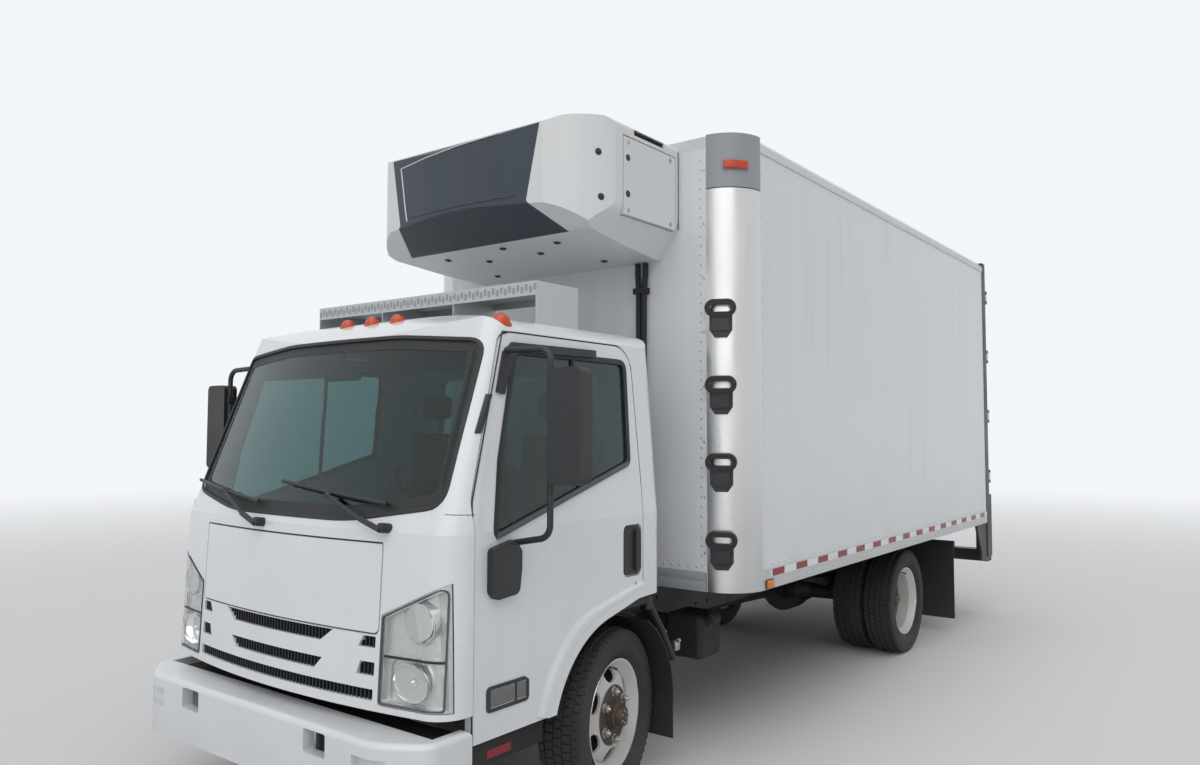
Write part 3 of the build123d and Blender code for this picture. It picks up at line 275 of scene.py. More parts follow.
def streak_group():
    """Faint streaks that rain draws down a tall panel, strongest where the noise gathers them."""
    group, start, end = new_group("rain_streaks", [("Amount", 0.3), ("Fineness", 9.0)],
                                  [("Mask", "NodeSocketFloat")])
    place, _ = object_place(group)
    stretch = group.nodes.new("ShaderNodeMapping")
    stretch.inputs["Scale"].default_value = (1.0, 1.0, 0.06)
    group.links.new(place, stretch.inputs["Vector"])
    lines = ramp(group, noise_node(group, stretch.outputs[0], start.outputs["Fineness"], 5.0), 0.48, 0.72)
    patches = ramp(group, noise_node(group, place, 0.9, 3.0), 0.35, 0.65)
    mask = math_node(group, "MULTIPLY", lines, patches)
    group.links.new(math_node(group, "MULTIPLY", mask, start.outputs["Amount"]), end.inputs["Mask"])
    return group


DUST = dust_group()
RIPPLE = ripple_group()
STREAKS = streak_group()
print("shared effects:", DUST.name, RIPPLE.name, STREAKS.name)

# %% [markdown]
# Every finish starts the same way: a base colour that drifts a little, streaks and dust over it,
# a roughness that isn't even, and a bump. One function builds that ladder, and each real finish
# sets its own numbers. Constant numbers stay on the shader's own sockets.

# %% The finish ladder
def group_node(tree, group, **values):
    """Place a shared effect in a material with its own values."""
    node = tree.nodes.new("ShaderNodeGroup")
    node.node_tree = group
    for label, value in values.items():
        node.inputs[label].default_value = value
    return node


def mix_colour(tree, mask, under, over):
    """Lay the colour over on the colour under, where the mask says; returns the output."""
    node = tree.nodes.new("ShaderNodeMix")
    node.data_type = "RGBA"
    tree.links.new(mask, node.inputs["Factor"])
    for label, value in (("A", under), ("B", over)):
        if isinstance(value, tuple):
            node.inputs[label].default_value = (*value, 1)
        else:
            tree.links.new(value, node.inputs[label])
    return node.outputs["Result"]


def finish(name, colour, drift=0.05, roughness=0.4, rough_drift=0.1, metallic=0.0, dust=0.0, dust_top=1.2,
           dust_colour=(0.27, 0.25, 0.22), streaks=0.0, streak_colour=(0.34, 0.33, 0.31), bump=0.02,
           grain=60.0, depth=0.001, **plain):
    """Painted, moulded or metal finish from one ladder of nodes; plain sets constant sockets."""
    material = bpy.data.materials.new(name)
    material.use_nodes = True
    tree = material.node_tree
    shader = tree.nodes["Principled BSDF"]
    shader.inputs["Metallic"].default_value = metallic
    for label, value in plain.items():
        shader.inputs[label.replace("_", " ")].default_value = value
    ripple = group_node(tree, RIPPLE, Scale=grain)
    tone = mix_colour(tree, ripple.outputs["Value"], tuple(c * (1 - drift) for c in colour),
                      tuple(min(1, c * (1 + drift)) for c in colour))
    rough = ramp(tree, ripple.outputs["Value"], 0.3, 0.7, max(0.02, roughness - rough_drift),
                 roughness + rough_drift)
    if streaks:
        lines = group_node(tree, STREAKS, Amount=streaks)
        tone = mix_colour(tree, lines.outputs["Mask"], tone, streak_colour)
    if dust:
        dirt = group_node(tree, DUST, Top=dust_top, Amount=dust)
        tone = mix_colour(tree, dirt.outputs["Mask"], tone, dust_colour)
        rough = ramp(tree, dirt.outputs["Mask"], 0.0, 1.0, rough, 0.85)
    tree.links.new(tone, shader.inputs["Base Color"])
    tree.links.new(rough, shader.inputs["Roughness"])
    relief = tree.nodes.new("ShaderNodeBump")
    relief.inputs["Strength"].default_value = bump
    relief.inputs["Distance"].default_value = depth
    tree.links.new(ripple.outputs["Height"], relief.inputs["Height"])
    tree.links.new(relief.outputs["Normal"], shader.inputs["Normal"])
    return material


def clothe(material, *nodes):
    """Give CAD nodes a material."""
    for name in nodes:
        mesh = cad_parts[name].data
        mesh.materials.clear()
        mesh.materials.append(material)


print("finish ladder ready")

# %% [markdown]
# White is never one white. The cab has a glossy coat over a cool white, the box panels are a
# duller sheet with a slow waviness that bends reflections, and the cooling unit is a moulded
# white with a fine grain. The roof of the box is duller still, and painted shade darkens its
# white, so that it doesn't glare under the light from above. Rubber, chassis paint and cast metal
# take most of the road dust.

# %% Plain finishes
CAP_COLOUR = (0.30, 0.315, 0.33)
cab_paint = finish("cab_paint", (0.74, 0.755, 0.77), drift=0.025, roughness=0.26, rough_drift=0.06,
                   dust=0.30, dust_top=1.0, streaks=0.05, bump=0.010, grain=140, Coat_Weight=0.45,
                   Coat_Roughness=0.08)
panel_white = finish("panel_white", (0.72, 0.735, 0.75), drift=0.03, roughness=0.36, rough_drift=0.08,
                     dust=0.25, dust_top=1.7, streaks=0.16, bump=0.06, grain=7, depth=0.005,
                     Coat_Weight=0.15)
# The roof's colour is darker than the walls' white: painted shade against the glare of the light from above.
shaded_roof_white = finish("shaded_roof_white", (0.63, 0.645, 0.655), drift=0.05, roughness=0.65, rough_drift=0.08,
                    bump=0.05, grain=7, depth=0.005)
unit_white = finish("unit_white", (0.72, 0.73, 0.735), drift=0.03, roughness=0.40, streaks=0.10, bump=0.05,
                    grain=260)
unit_slate = finish("unit_slate", (0.032, 0.045, 0.060), drift=0.12, roughness=0.42, rough_drift=0.12,
                    streaks=0.05, bump=0.06, grain=220)
rail_metal = finish("rail_metal", (0.56, 0.57, 0.58), metallic=0.75, roughness=0.42, dust=0.35,
                    dust_top=1.3, streaks=0.15, grain=80)
post_metal = finish("post_metal", (0.60, 0.60, 0.595), metallic=1.0, roughness=0.30, rough_drift=0.09,
                    streaks=0.22, bump=0.07, grain=16, depth=0.003)
cap_grey = finish("cap_grey", CAP_COLOUR, roughness=0.46, streaks=0.2, bump=0.06, grain=90)
chassis_black = finish("chassis_black", (0.016, 0.016, 0.018), roughness=0.6, dust=0.30, dust_top=0.95,
                       bump=0.15, dust_colour=(0.14, 0.125, 0.105))
rear_black = finish("rear_black", (0.03, 0.031, 0.034), roughness=0.45, dust=0.3, dust_top=1.2, bump=0.1,
                    dust_colour=(0.16, 0.15, 0.13))
engine_grey = finish("engine_grey", (0.06, 0.06, 0.063), roughness=0.7, metallic=0.4, dust=0.5,
                     dust_top=1.2, bump=0.3, dust_colour=(0.12, 0.10, 0.08))
tank_metal = finish("tank_metal", (0.05, 0.05, 0.055), roughness=0.5, dust=0.4, dust_top=0.9)
exhaust_metal = finish("exhaust_metal", (0.25, 0.22, 0.2), metallic=0.8, roughness=0.6, dust=0.5,
                       dust_top=0.8, bump=0.2)
black_plastic = finish("black_plastic", (0.017, 0.019, 0.022), roughness=0.5, dust=0.12, dust_top=0.9,
                       bump=0.12, grain=320)
under_plastic = finish("under_plastic", (0.010, 0.010, 0.012), roughness=0.75, dust=0.10, dust_top=1.0,
                       bump=0.15, grain=120)
bumper_white = finish("bumper_white", (0.70, 0.715, 0.73), drift=0.03, roughness=0.34, dust=0.5,
                      dust_top=0.7, bump=0.05, Coat_Weight=0.3)
wheel_paint = finish("wheel_paint", (0.60, 0.60, 0.59), roughness=0.45, dust=0.55, dust_top=1.0, bump=0.1,
                     dust_colour=(0.20, 0.16, 0.12))
tyre_rubber = finish("tyre_rubber", (0.020, 0.020, 0.021), roughness=0.8, dust=0.45, dust_top=0.9,
                     dust_colour=(0.10, 0.09, 0.08), bump=0.2, grain=150)
bright_metal = finish("bright_metal", (0.90, 0.905, 0.91), metallic=1.0, roughness=0.14, rough_drift=0.05,
                      bump=0.03)
bolt_metal = finish("bolt_metal", (0.42, 0.41, 0.39), metallic=1.0, roughness=0.38, dust=0.3,
                    dust_colour=(0.2, 0.15, 0.1))
hub_grease = finish("hub_grease", (0.075, 0.055, 0.042), drift=0.4, roughness=0.6, rough_drift=0.2,
                    metallic=0.4, bump=0.4)
lamp_red = finish("lamp_red", (0.70, 0.075, 0.02), roughness=0.2, bump=0.02, Transmission_Weight=0.2)
lamp_amber = finish("lamp_amber", (0.80, 0.27, 0.02), roughness=0.2, bump=0.02, Transmission_Weight=0.2)
lamp_clear = finish("lamp_clear", (0.62, 0.63, 0.63), metallic=0.6, roughness=0.20, bump=0.05)
lamp_smoked = finish("lamp_smoked", (0.17, 0.175, 0.18), metallic=0.4, roughness=0.20, bump=0.05)
floor_rubber = finish("floor_rubber", (0.035, 0.035, 0.037), roughness=0.8, bump=0.3, grain=120)
dash_plastic = finish("dash_plastic", (0.045, 0.047, 0.05), roughness=0.6, bump=0.25, grain=380)
seat_fabric = finish("seat_fabric", (0.085, 0.09, 0.10), roughness=0.9, bump=0.5, grain=500, depth=0.002)
tread_metal = finish("tread_metal", (0.50, 0.51, 0.52), metallic=0.6, roughness=0.45, streaks=0.1, bump=0.1)
mud_rubber = finish("mud_rubber", (0.014, 0.014, 0.016), roughness=0.7, dust=0.3, dust_top=0.8, bump=0.2,
                    dust_colour=(0.10, 0.09, 0.08))
underfloor = finish("underfloor", (0.03, 0.03, 0.032), roughness=0.7, dust=0.3, dust_top=1.2, bump=0.2)
seal_rubber = finish("seal_rubber", (0.012, 0.013, 0.015), roughness=0.55, bump=0.1, grain=200)
belt_rubber = finish("belt_rubber", (0.075, 0.08, 0.085), roughness=0.45, bump=0.05)
tape_red = finish("tape_red", (0.24, 0.012, 0.014), roughness=0.3, bump=0.3, grain=420)
tape_white = finish("tape_white", (0.74, 0.75, 0.76), roughness=0.3, bump=0.3, grain=420)
print("plain finishes:", len(bpy.data.materials))

# %% [markdown]
# The glass of a truck is a few millimetres thick and green. Transmission lets the seats and the
# wheel show through it. The tint is much stronger than the glass's own green: it is painted shade
# that makes the cab's inside far darker than the paint round it.

# %% Glass and clear covers
def clear_finish(name, colour, roughness, ior):
    """See-through material."""
    material = bpy.data.materials.new(name)
    material.use_nodes = True
    shader = material.node_tree.nodes["Principled BSDF"]
    shader.inputs["Base Color"].default_value = (*colour, 1)
    shader.inputs["Roughness"].default_value = roughness
    shader.inputs["Transmission Weight"].default_value = 1.0
    shader.inputs["IOR"].default_value = ior
    return material


# Dark teal: partly the glass's real green, partly painted shade for the cab's inside.
glass = clear_finish("cab_glass", (0.20, 0.33, 0.33), 0.0, 1.45)
clear_cover = clear_finish("clear_cover", (0.975, 0.975, 0.97), 0.02, 1.2)
print("clear finishes:", glass.name, clear_cover.name)

# %% [markdown]
# The front corner posts are bright metal, but their upper ends are grey moulded caps. Both belong
# to one solid part, so the seam between them is drawn in the material: a step on the height, with
# a thin dark line where the two meet.

# %% Corner posts with their caps
CAP_SEAM, SEAM_HALF = 3.09, 0.003
post_finish = post_metal.copy()
post_finish.name = "post_and_cap"
tree = post_finish.node_tree
shader = tree.nodes["Principled BSDF"]
_, axes = object_place(tree)
above = math_node(tree, "GREATER_THAN", axes["Z"], CAP_SEAM)
line = math_node(tree, "COMPARE", axes["Z"], CAP_SEAM, SEAM_HALF)
metal_tone = shader.inputs["Base Color"].links[0].from_socket
capped = mix_colour(tree, above, metal_tone, CAP_COLOUR)
capped = mix_colour(tree, line, capped, (0.03, 0.03, 0.03))
tree.links.new(capped, shader.inputs["Base Color"])
tree.links.new(ramp(tree, above, 0.0, 1.0, 1.0, 0.0), shader.inputs["Metallic"])
print("cap seam at", CAP_SEAM, "m")

# %% [markdown]
# A solid part comes in without a material. Here each one gets the finish of what it is made of on
# the real truck, and the last line prints the parts that were forgotten, which has to be none.

# %% Dress the solid parts
clothe(cab_paint, "cab_front", "cab_roof", "cab_back", "cab_pillars", "service_lid", "door_left",
       "door_right", "grille")
clothe(panel_white, "box_walls", "box_door_left", "box_door_right")
clothe(shaded_roof_white, "box_roof")
clothe(unit_white, "unit_housing", "unit_door_left", "unit_door_right", "evaporator")
clothe(unit_slate, "unit_front_panel")
clothe(rail_metal, "box_rails")
clothe(post_finish, "corner_posts")
clothe(chassis_black, "knuckle_left", "knuckle_right", "tie_rod", "frame", "front_axle", "leaf_springs",
       "rear_axle")
clothe(rear_black, "box_rear_frame", "rear_underrun")
clothe(engine_grey, "engine")
clothe(tank_metal, "fuel_tank")
clothe(exhaust_metal, "exhaust")
clothe(under_plastic, "side_boxes", "cab_liners")
clothe(black_plastic, "door_fittings_left", "door_fittings_right", "grab_steps")
clothe(bumper_white, "front_bumper")
clothe(wheel_paint, "front_wheel_left", "front_wheel_right", "rear_wheels_left", "rear_wheels_right")
clothe(tyre_rubber, "front_tyre_left", "front_tyre_right", "rear_tyres_left", "rear_tyres_right")
clothe(lamp_red, "marker_lamps")
clothe(lamp_clear, "headlamps")
clothe(floor_rubber, "cab_floor", "step_wells")
clothe(dash_plastic, "dashboard", "steering_wheel")
clothe(seat_fabric, "seats")
clothe(tread_metal, "catwalk")
clothe(mud_rubber, "mudguards", "unit_hoses")
clothe(underfloor, "box_floor")
clothe(glass, "cab_glass", "door_glass_left", "door_glass_right")
clothe(clear_cover, "lamp_covers")
bare = [name for name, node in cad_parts.items() if not node.data.materials]
print("nodes with no finish:", bare)

# %% [markdown]
# From here on new pieces are added. Each one starts as a primitive, is shaped in edit mode, and
# has its modifiers applied. A few helpers hold the steps that every piece shares: clear the
# selection, apply a modifier, and hand the finished piece its name, finish and body.

# %% Steps that every piece shares
def fresh(*chosen):
    """Leave edit mode, clear the selection, and select only the chosen pieces."""
    if bpy.context.object and bpy.context.object.mode != "OBJECT":
        bpy.ops.object.mode_set(mode="OBJECT")
    bpy.ops.object.select_all(action="DESELECT")
    for piece in chosen:
        piece.select_set(True)
        bpy.context.view_layer.objects.active = piece


def modify(piece, kind, **settings):
    """Add a modifier, set it, and apply it."""
    fresh(piece)
    step = piece.modifiers.new(kind.lower(), kind)
    for label, value in settings.items():
        setattr(step, label, value)
    bpy.ops.object.modifier_apply(modifier=step.name)
    return piece


def flatten_place(piece):
    """Write the piece's place, turn and size into its mesh."""
    fresh(piece)
    bpy.ops.object.transform_apply(location=True, rotation=True, scale=True)
    return piece


def joined(parts):
    """One piece from several."""
    fresh(*parts)
    bpy.ops.object.join()
    return flatten_place(bpy.context.object)


def copied(piece, change):
    """Copy of a piece with its own mesh, moved or turned by a matrix."""
    twin = piece.copy()
    twin.data = piece.data.copy()
    bpy.context.collection.objects.link(twin)
    twin.data.transform(change)
    if change.determinant() < 0:
        twin.data.flip_normals()
    return twin


def hand_over(piece, name, material, body, smooth=30):
    """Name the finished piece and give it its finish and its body."""
    fresh(piece)
    bpy.ops.object.shade_smooth_by_angle(angle=math.radians(smooth))
    piece.name = name
    piece.data.name = name
    piece.data.materials.clear()
    piece.data.materials.append(material)
    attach(piece, body)
    return piece


MIRROR_X = Matrix.Diagonal((-1, 1, 1, 1))
print("shared steps ready")

# %% [markdown]
# Most fittings of a truck are bars, tubes, barrels, domes and hoops, alone or joined. A bar is a
# cube with its edges bevelled, a tube is a line with a round section, a barrel is a bevelled
# cylinder, a dome is half a ball cut by a bisect, and a hoop is a torus.

# %% Solid starting shapes
def bar(x0, x1, d0, d1, z0, z1, edge=0.002, segments=2):
    """Block between two places on each axis, with its edges rounded."""
    fresh()
    bpy.ops.mesh.primitive_cube_add(size=1, location=((x0 + x1) / 2, back((d0 + d1) / 2), (z0 + z1) / 2))
    piece = bpy.context.object
    piece.scale = (abs(x1 - x0), abs(d1 - d0), abs(z1 - z0))
    flatten_place(piece)
    return modify(piece, "BEVEL", width=edge, segments=segments, limit_method="NONE")


def tube(points, radius, closed=False, sides=2):
    """Round line through places given as finished points."""
    fresh()
    line = bpy.data.curves.new("line", "CURVE")
    line.dimensions = "3D"
    line.bevel_depth = radius
    line.bevel_resolution = sides
    line.use_fill_caps = True
    spline = line.splines.new("POLY")
    spline.points.add(len(points) - 1)
    for knot, point in zip(spline.points, points):
        knot.co = (*point, 1)
    spline.use_cyclic_u = closed
    piece = bpy.data.objects.new("line", line)
    bpy.context.collection.objects.link(piece)
    fresh(piece)
    bpy.ops.object.convert(target="MESH")
    return bpy.context.object


def dome(place, radius, height, sides=12, rings=6, axis="Z"):
    """Half a ball on a base: a sphere cut by a bisect, closed, squashed, and turned to its axis."""
    fresh()
    bpy.ops.mesh.primitive_uv_sphere_add(segments=sides, ring_count=rings, radius=radius,
                                         location=(0, 0, 0))
    piece = bpy.context.object
    bpy.ops.object.mode_set(mode="EDIT")
    bpy.ops.mesh.select_all(action="SELECT")
    bpy.ops.mesh.bisect(plane_co=(0, 0, 0), plane_no=(0, 0, 1), clear_inner=True, use_fill=True)
    bpy.ops.object.mode_set(mode="OBJECT")
    turns = {"Z": Matrix.Identity(4), "-Z": Matrix.Rotation(math.pi, 4, "X"),
             "X": Matrix.Rotation(math.pi / 2, 4, "Y"), "-X": Matrix.Rotation(-math.pi / 2, 4, "Y"),
             "-Y": Matrix.Rotation(math.pi / 2, 4, "X"), "Y": Matrix.Rotation(-math.pi / 2, 4, "X")}
    squash = Matrix.Diagonal((1, 1, height / radius, 1))
    piece.data.transform(Matrix.Translation(place) @ turns[axis] @ squash)
    return piece


def barrel(start, end, radius, sides=24, edge=0.002):
    """Round bar between two points, with its ends bevelled."""
    fresh()
    along = Vector(end) - Vector(start)
    bpy.ops.mesh.primitive_cylinder_add(vertices=sides, radius=radius, depth=along.length,
                                        location=(Vector(start) + Vector(end)) / 2)
    piece = bpy.context.object
    piece.rotation_euler = along.to_track_quat("Z", "Y").to_euler()
    flatten_place(piece)
    return modify(piece, "BEVEL", width=edge, segments=2, limit_method="ANGLE",
                  angle_limit=math.radians(50))


def hoop(place, radius, thick, steps=40):
    """Thin upright ring that faces along the truck."""
    fresh()
    bpy.ops.mesh.primitive_torus_add(major_radius=radius, minor_radius=thick, major_segments=steps,
                                     minor_segments=6, location=place, rotation=(math.pi / 2, 0, 0))
    return flatten_place(bpy.context.object)


def row(piece, count, step):
    """Line of copies of a piece."""
    return modify(piece, "ARRAY", count=count, use_relative_offset=False, use_constant_offset=True,
                  constant_offset_displace=step)


def soften(piece, width=0.003, segments=2):
    """Round all edges of a thin piece."""
    return modify(piece, "BEVEL", width=width, segments=segments)


print("solid starting shapes ready")

# %% [markdown]
# Seals, lenses and panels follow an outline. It is drawn flat, its corners are rounded, and points
# are added along its long stretches, so that it can bend with the surface it is laid on. The piece
# is a circle whose points are moved to the outline, inset where only a band is wanted, and then
# given a thickness.

# %% Outlines and outlined panels
def rectangle(a0, a1, b0, b1):
    """Four corners of a rectangle, in order round it."""
    return [(a0, b0), (a1, b0), (a1, b1), (a0, b1)]


def rounded(corners, radius, steps=5):
    """Outline whose corners are turned by smooth bends."""
    radii = radius if isinstance(radius, list) else [radius] * len(corners)
    points = []
    for number, corner in enumerate(corners):
        here = Vector(corner)
        before = Vector(corners[number - 1]) - here
        after = Vector(corners[(number + 1) % len(corners)]) - here
        reach = radii[number] / math.tan(before.angle(after) / 2)
        start = here + before.normalized() * min(reach, before.length * 0.48)
        end = here + after.normalized() * min(reach, after.length * 0.48)
        for step in range(steps + 1):
            t = step / steps
            points.append((1 - t) ** 2 * start + 2 * t * (1 - t) * here + t * t * end)
    return points


def spaced(points, pitch):
    """The same closed outline with extra points along its long stretches."""
    out = []
    for number, point in enumerate(points):
        following = points[(number + 1) % len(points)]
        count = max(1, round((following - point).length / pitch))
        out += [point.lerp(following, step / count) for step in range(count)]
    return out


def outlined(points, lay, width=None, thick=0.004, lift=0.0):
    """Panel inside an outline or, with a width, a band along it; lay puts flat points on a surface."""
    fresh()
    bpy.ops.mesh.primitive_circle_add(vertices=len(points), fill_type="NGON")
    piece = bpy.context.object
    for vertex, point in zip(piece.data.vertices, points):
        vertex.co = (point[0], point[1], 0)
    bpy.ops.object.mode_set(mode="EDIT")
    bpy.ops.mesh.select_all(action="SELECT")
    if width:
        bpy.ops.mesh.inset(thickness=width, depth=0)
        bpy.ops.mesh.delete(type="FACE")
    bpy.ops.object.mode_set(mode="OBJECT")
    for vertex in piece.data.vertices:
        vertex.co = lay(vertex.co.x, vertex.co.y, lift)
    return modify(piece, "SOLIDIFY", thickness=thick, offset=0)


print("outlined panels ready")

# %% [markdown]
# Trim has to lie on the cab's skin, which leans and curves. The skin follows from few numbers: the
# nose leans back with height, in plan it is one wide arc with a rounder one at each corner, and
# the sides lean in above the waist. One function lays a place on the face, a second one on the
# side, and a third one on a flat upright wall, for what isn't on the skin.

# %% The cab's skin as a function
WAIST, PEAK, FOOT = 1.355, 2.320, 0.500
NOSE_AT = {FOOT: 0.095, WAIST: 0.135, PEAK: 0.482}
HALF, HALF_PEAK = 0.981, 0.898
BOW, CORNER = 0.080, 0.130
LEAN = (HALF - HALF_PEAK) / (PEAK - WAIST)


def side_x(z):
    """Half width of the cab at a height."""
    return HALF - LEAN * max(0.0, z - WAIST)


def face_depth(x, z):
    """Distance behind the bumper of the cab's front skin at a place seen from the front."""
    low, high = (FOOT, WAIST) if z < WAIST else (WAIST, PEAK)
    nose = NOSE_AT[low] + (NOSE_AT[high] - NOSE_AT[low]) * (z - low) / (high - low)
    flat = side_x(z) - CORNER
    x = min(abs(x), side_x(z) - 0.001)
    if x <= flat:
        arc = (flat ** 2 + BOW ** 2) / (2 * BOW)
        return nose + arc - math.sqrt(arc ** 2 - x ** 2)
    return nose + BOW + CORNER - math.sqrt(CORNER ** 2 - (x - flat) ** 2)


def on_face(x, z, lift):
    """Place on the cab's front skin, raised towards the front."""
    return Vector((x, back(face_depth(x, z) - lift), z))


def on_flank(side):
    """Function that lays (distance, height) on the cab's left (1) or right (-1) side."""
    return lambda d, z, lift: Vector((side * (side_x(z) + lift), back(d), z))


def on_wall(distance):
    """Function that lays (across, height) on an upright wall that faces the back."""
    return lambda x, z, lift: Vector((x, back(distance + lift), z))


SIDES = (("left", 1), ("right", -1))
print("skin at the windscreen's middle:", round(face_depth(0, 1.8), 3), "m behind the bumper")

# %% [markdown]
# The windscreen is glued in behind a black rubber frame, and the glass has a black printed edge
# that hides the glue. The frame is a band that follows the outline and stands a little proud. The
# printed edge is a second, wider and very thin band just behind the glass.

# %% Windscreen frame and printed edge
SCREEN = [(-0.885, 1.462), (-0.420, 1.392), (0.420, 1.392), (0.885, 1.462), (0.852, 2.132), (0.400, 2.166),
          (-0.400, 2.166), (-0.852, 2.132)]
SCREEN_BENDS = [0.09, 1.5, 1.5, 0.09, 0.08, 1.5, 1.5, 0.08]
screen_line = spaced(rounded(SCREEN, SCREEN_BENDS), 0.06)
frame_line = [Vector((p.x * 1.012, p.y + (0.010 if p.y > 1.8 else -0.010))) for p in screen_line]
screen_frame = outlined(frame_line, on_face, width=0.017, thick=0.010, lift=-0.001)
soften(screen_frame)
hand_over(screen_frame, "screen_frame", seal_rubber, "cab")
printed = outlined(screen_line, on_face, width=0.052, thick=0.0008, lift=-0.0072)
hand_over(printed, "screen_printed_edge", seal_rubber, "cab")
print("windscreen frame points:", len(frame_line))

# %% [markdown]
# Each wiper is an arm on a pivot, a thin spring-loaded blade carrier, and a rubber lip under it.
# The arms park to the right-hand side of the screen. One loop makes both, each from its pivot and
# the middle of its blade. They follow the curved glass because their points are laid on it, and no
# blade dips below the edge of the screen.

# %% Wipers
WIPERS = (((-0.134, 1.345), (-0.52, 1.468), 0), ((0.657, 1.365), (0.298, 1.482), 0.012))
BLADE_HALF = 0.34
BLADE_SLOPE = -0.10
BLADE_R, LIP_R, ARM_R = 0.0085, 0.0045, 0.012


def screen_foot(x):
    """Lowest place for a blade at a place across the screen."""
    return 1.40 + 0.070 * max(0, abs(x) - 0.42) / 0.46


for number, (pivot, middle, raised) in enumerate(WIPERS):
    parts = []
    spread = [BLADE_HALF * (step / 6 - 1) for step in range(13)]
    blade = [(middle[0] + reach, middle[1] + BLADE_SLOPE * reach + raised) for reach in spread]
    blade = [(x, max(z, screen_foot(x))) for x, z in blade]
    parts.append(tube([on_face(x, z + 0.004, 0.026) for x, z in blade], BLADE_R))
    parts.append(tube([on_face(x, z, 0.010) for x, z in blade], LIP_R))
    for share in (2, 4, 8, 10):
        x, z = blade[share]
        parts.append(tube([on_face(x, z + 0.004, 0.026), on_face(x, z, 0.010)], 0.006))
    hub = on_face(*pivot, 0.0)
    parts.append(barrel(hub + Vector((0, 0.03, 0)), hub + Vector((0, -0.045, 0.01)), 0.020, edge=0.004))
    knee = (pivot[0] + (middle[0] - pivot[0]) * 0.32, pivot[1] + (middle[1] - pivot[1]) * 0.32)
    parts.append(tube([on_face(*pivot, 0.040), on_face(*knee, 0.046),
                       on_face(middle[0], middle[1] + 0.004, 0.034)], BLADE_R))
    parts.append(tube([on_face(*pivot, 0.040), on_face(*knee, 0.046)], ARM_R))
    parts.append(dome(on_face(middle[0], middle[1] + 0.004, 0.028), 0.015, 0.018, axis="-Y"))
    hand_over(joined(parts), f"wiper_{number + 1}", black_plastic, "cab")
print("wipers: 2")

# %% [markdown]
# Behind the slots of the grille stand thin upright ribs, closely spaced. A rib is a thin bar,
# repeated by a loop along each slot. An array would lay the ribs on a straight line, and the loop
# can set each one on the curve of the face.

# %% Grille ribs
SLOTS = [(-0.385, 0.385, 0.900, 0.949), (-0.325, 0.325, 0.786, 0.831), (-0.620, 0.620, 0.703, 0.744),
         (0.548, 0.628, 0.905, 0.946), (-0.628, -0.548, 0.905, 0.946), (0.548, 0.628, 0.798, 0.847),
         (-0.628, -0.548, 0.798, 0.847)]
RIB_PITCH = 0.0215
ribs = []
for x0, x1, z0, z1 in SLOTS:
    count = round((x1 - x0) / RIB_PITCH)
    for number in range(count + 1):
        x = x0 + (x1 - x0) * number / count
        depth = face_depth(x, z0) + 0.006
        ribs.append(bar(x - 0.003, x + 0.003, depth, depth + 0.018, z0 - 0.004, z1 + 0.004, edge=0.001,
                        segments=1))
hand_over(joined(ribs), "grille_ribs", black_plastic, "cab")
print("grille ribs:", len(ribs))

# %% [markdown]
# A headlamp shows three things behind its clear cover: a round turn lamp with rings in its lens
# at the top, a bright bowl with its bulb below, and a dark line round the whole cover. The bowl is
# a ball scaled flat and cut by a bisect, so that it is a real hollow mirror. Both lamps are made at
# the left, and a mirror matrix takes them to the right.

# %% Headlamp insides
BEAM, TURN = (0.793, 0.786), (0.822, 1.012)
RING_RADII = (0.080, 0.062, 0.044, 0.026)
LAMP_EDGE = [(0.660, 0.696), (0.952, 0.696), (0.952, 1.166), (0.660, 1.030)]


def in_lamp(middle, behind):
    """Place at the middle of a lamp, this far behind the face."""
    x, z = middle
    return x, back(face_depth(x, z) + behind), z


def lamp_bowl(place, wide, tall, deep, sides=32):
    """Hollow mirror bowl that opens to the front."""
    fresh()
    bpy.ops.mesh.primitive_uv_sphere_add(segments=sides, ring_count=16, radius=1, location=(0, 0, 0))
    piece = bpy.context.object
    bpy.ops.object.mode_set(mode="EDIT")
    bpy.ops.mesh.select_all(action="SELECT")
    bpy.ops.mesh.bisect(plane_co=(0, 0, 0), plane_no=(0, 1, 0), clear_inner=True)
    bpy.ops.object.mode_set(mode="OBJECT")
    piece.data.transform(Matrix.Translation(place) @ Matrix.Diagonal((wide, deep, tall, 1)))
    return modify(piece, "SOLIDIFY", thickness=0.002, offset=0)


for name, side in SIDES:
    flip = Matrix.Identity(4) if side > 0 else MIRROR_X
    bowl = lamp_bowl(in_lamp(BEAM, 0.012), 0.098, 0.072, 0.052)
    turn = lamp_bowl(in_lamp(TURN, 0.012), 0.088, 0.078, 0.036)
    rings = [hoop(in_lamp(TURN, 0.012 + (RING_RADII[0] - radius) * 0.25), radius, 0.0022)
             for radius in RING_RADII]
    bulb = dome(in_lamp(BEAM, 0.050), 0.019, 0.034, sides=20, rings=10, axis="-Y")
    collar = barrel(in_lamp(BEAM, 0.058), in_lamp(BEAM, 0.044), 0.027)
    amber = dome(in_lamp(TURN, 0.040), 0.016, 0.020, sides=20, rings=10, axis="-Y")
    bright = joined([bowl, turn, collar, *rings])
    line = outlined(spaced(rounded(LAMP_EDGE, [0.014, 0.012, 0.03, 0.02]), 0.05), on_face, width=0.006,
                    thick=0.005, lift=0.0055)
    split = tube([on_face(0.674 + 0.030 * step, 0.879, -0.003) for step in range(10)], 0.006)
    for piece, label, material, slot in ((bright, "headlamp_bowls", bright_metal, "lamp_clear"),
                                         (bulb, "headlamp_bulb", lamp_clear, "lamp_clear"),
                                         (amber, "turn_bulb", lamp_amber, "lamp_red"),
                                         (line, "headlamp_seal", belt_rubber, "mud_rubber"),
                                         (split, "headlamp_split", black_plastic, "black_plastic")):
        piece.data.transform(flip)
        if side < 0:
            piece.data.flip_normals()
        hand_over(piece, f"{label}_{name}", material, "cab")
print("headlamps dressed")

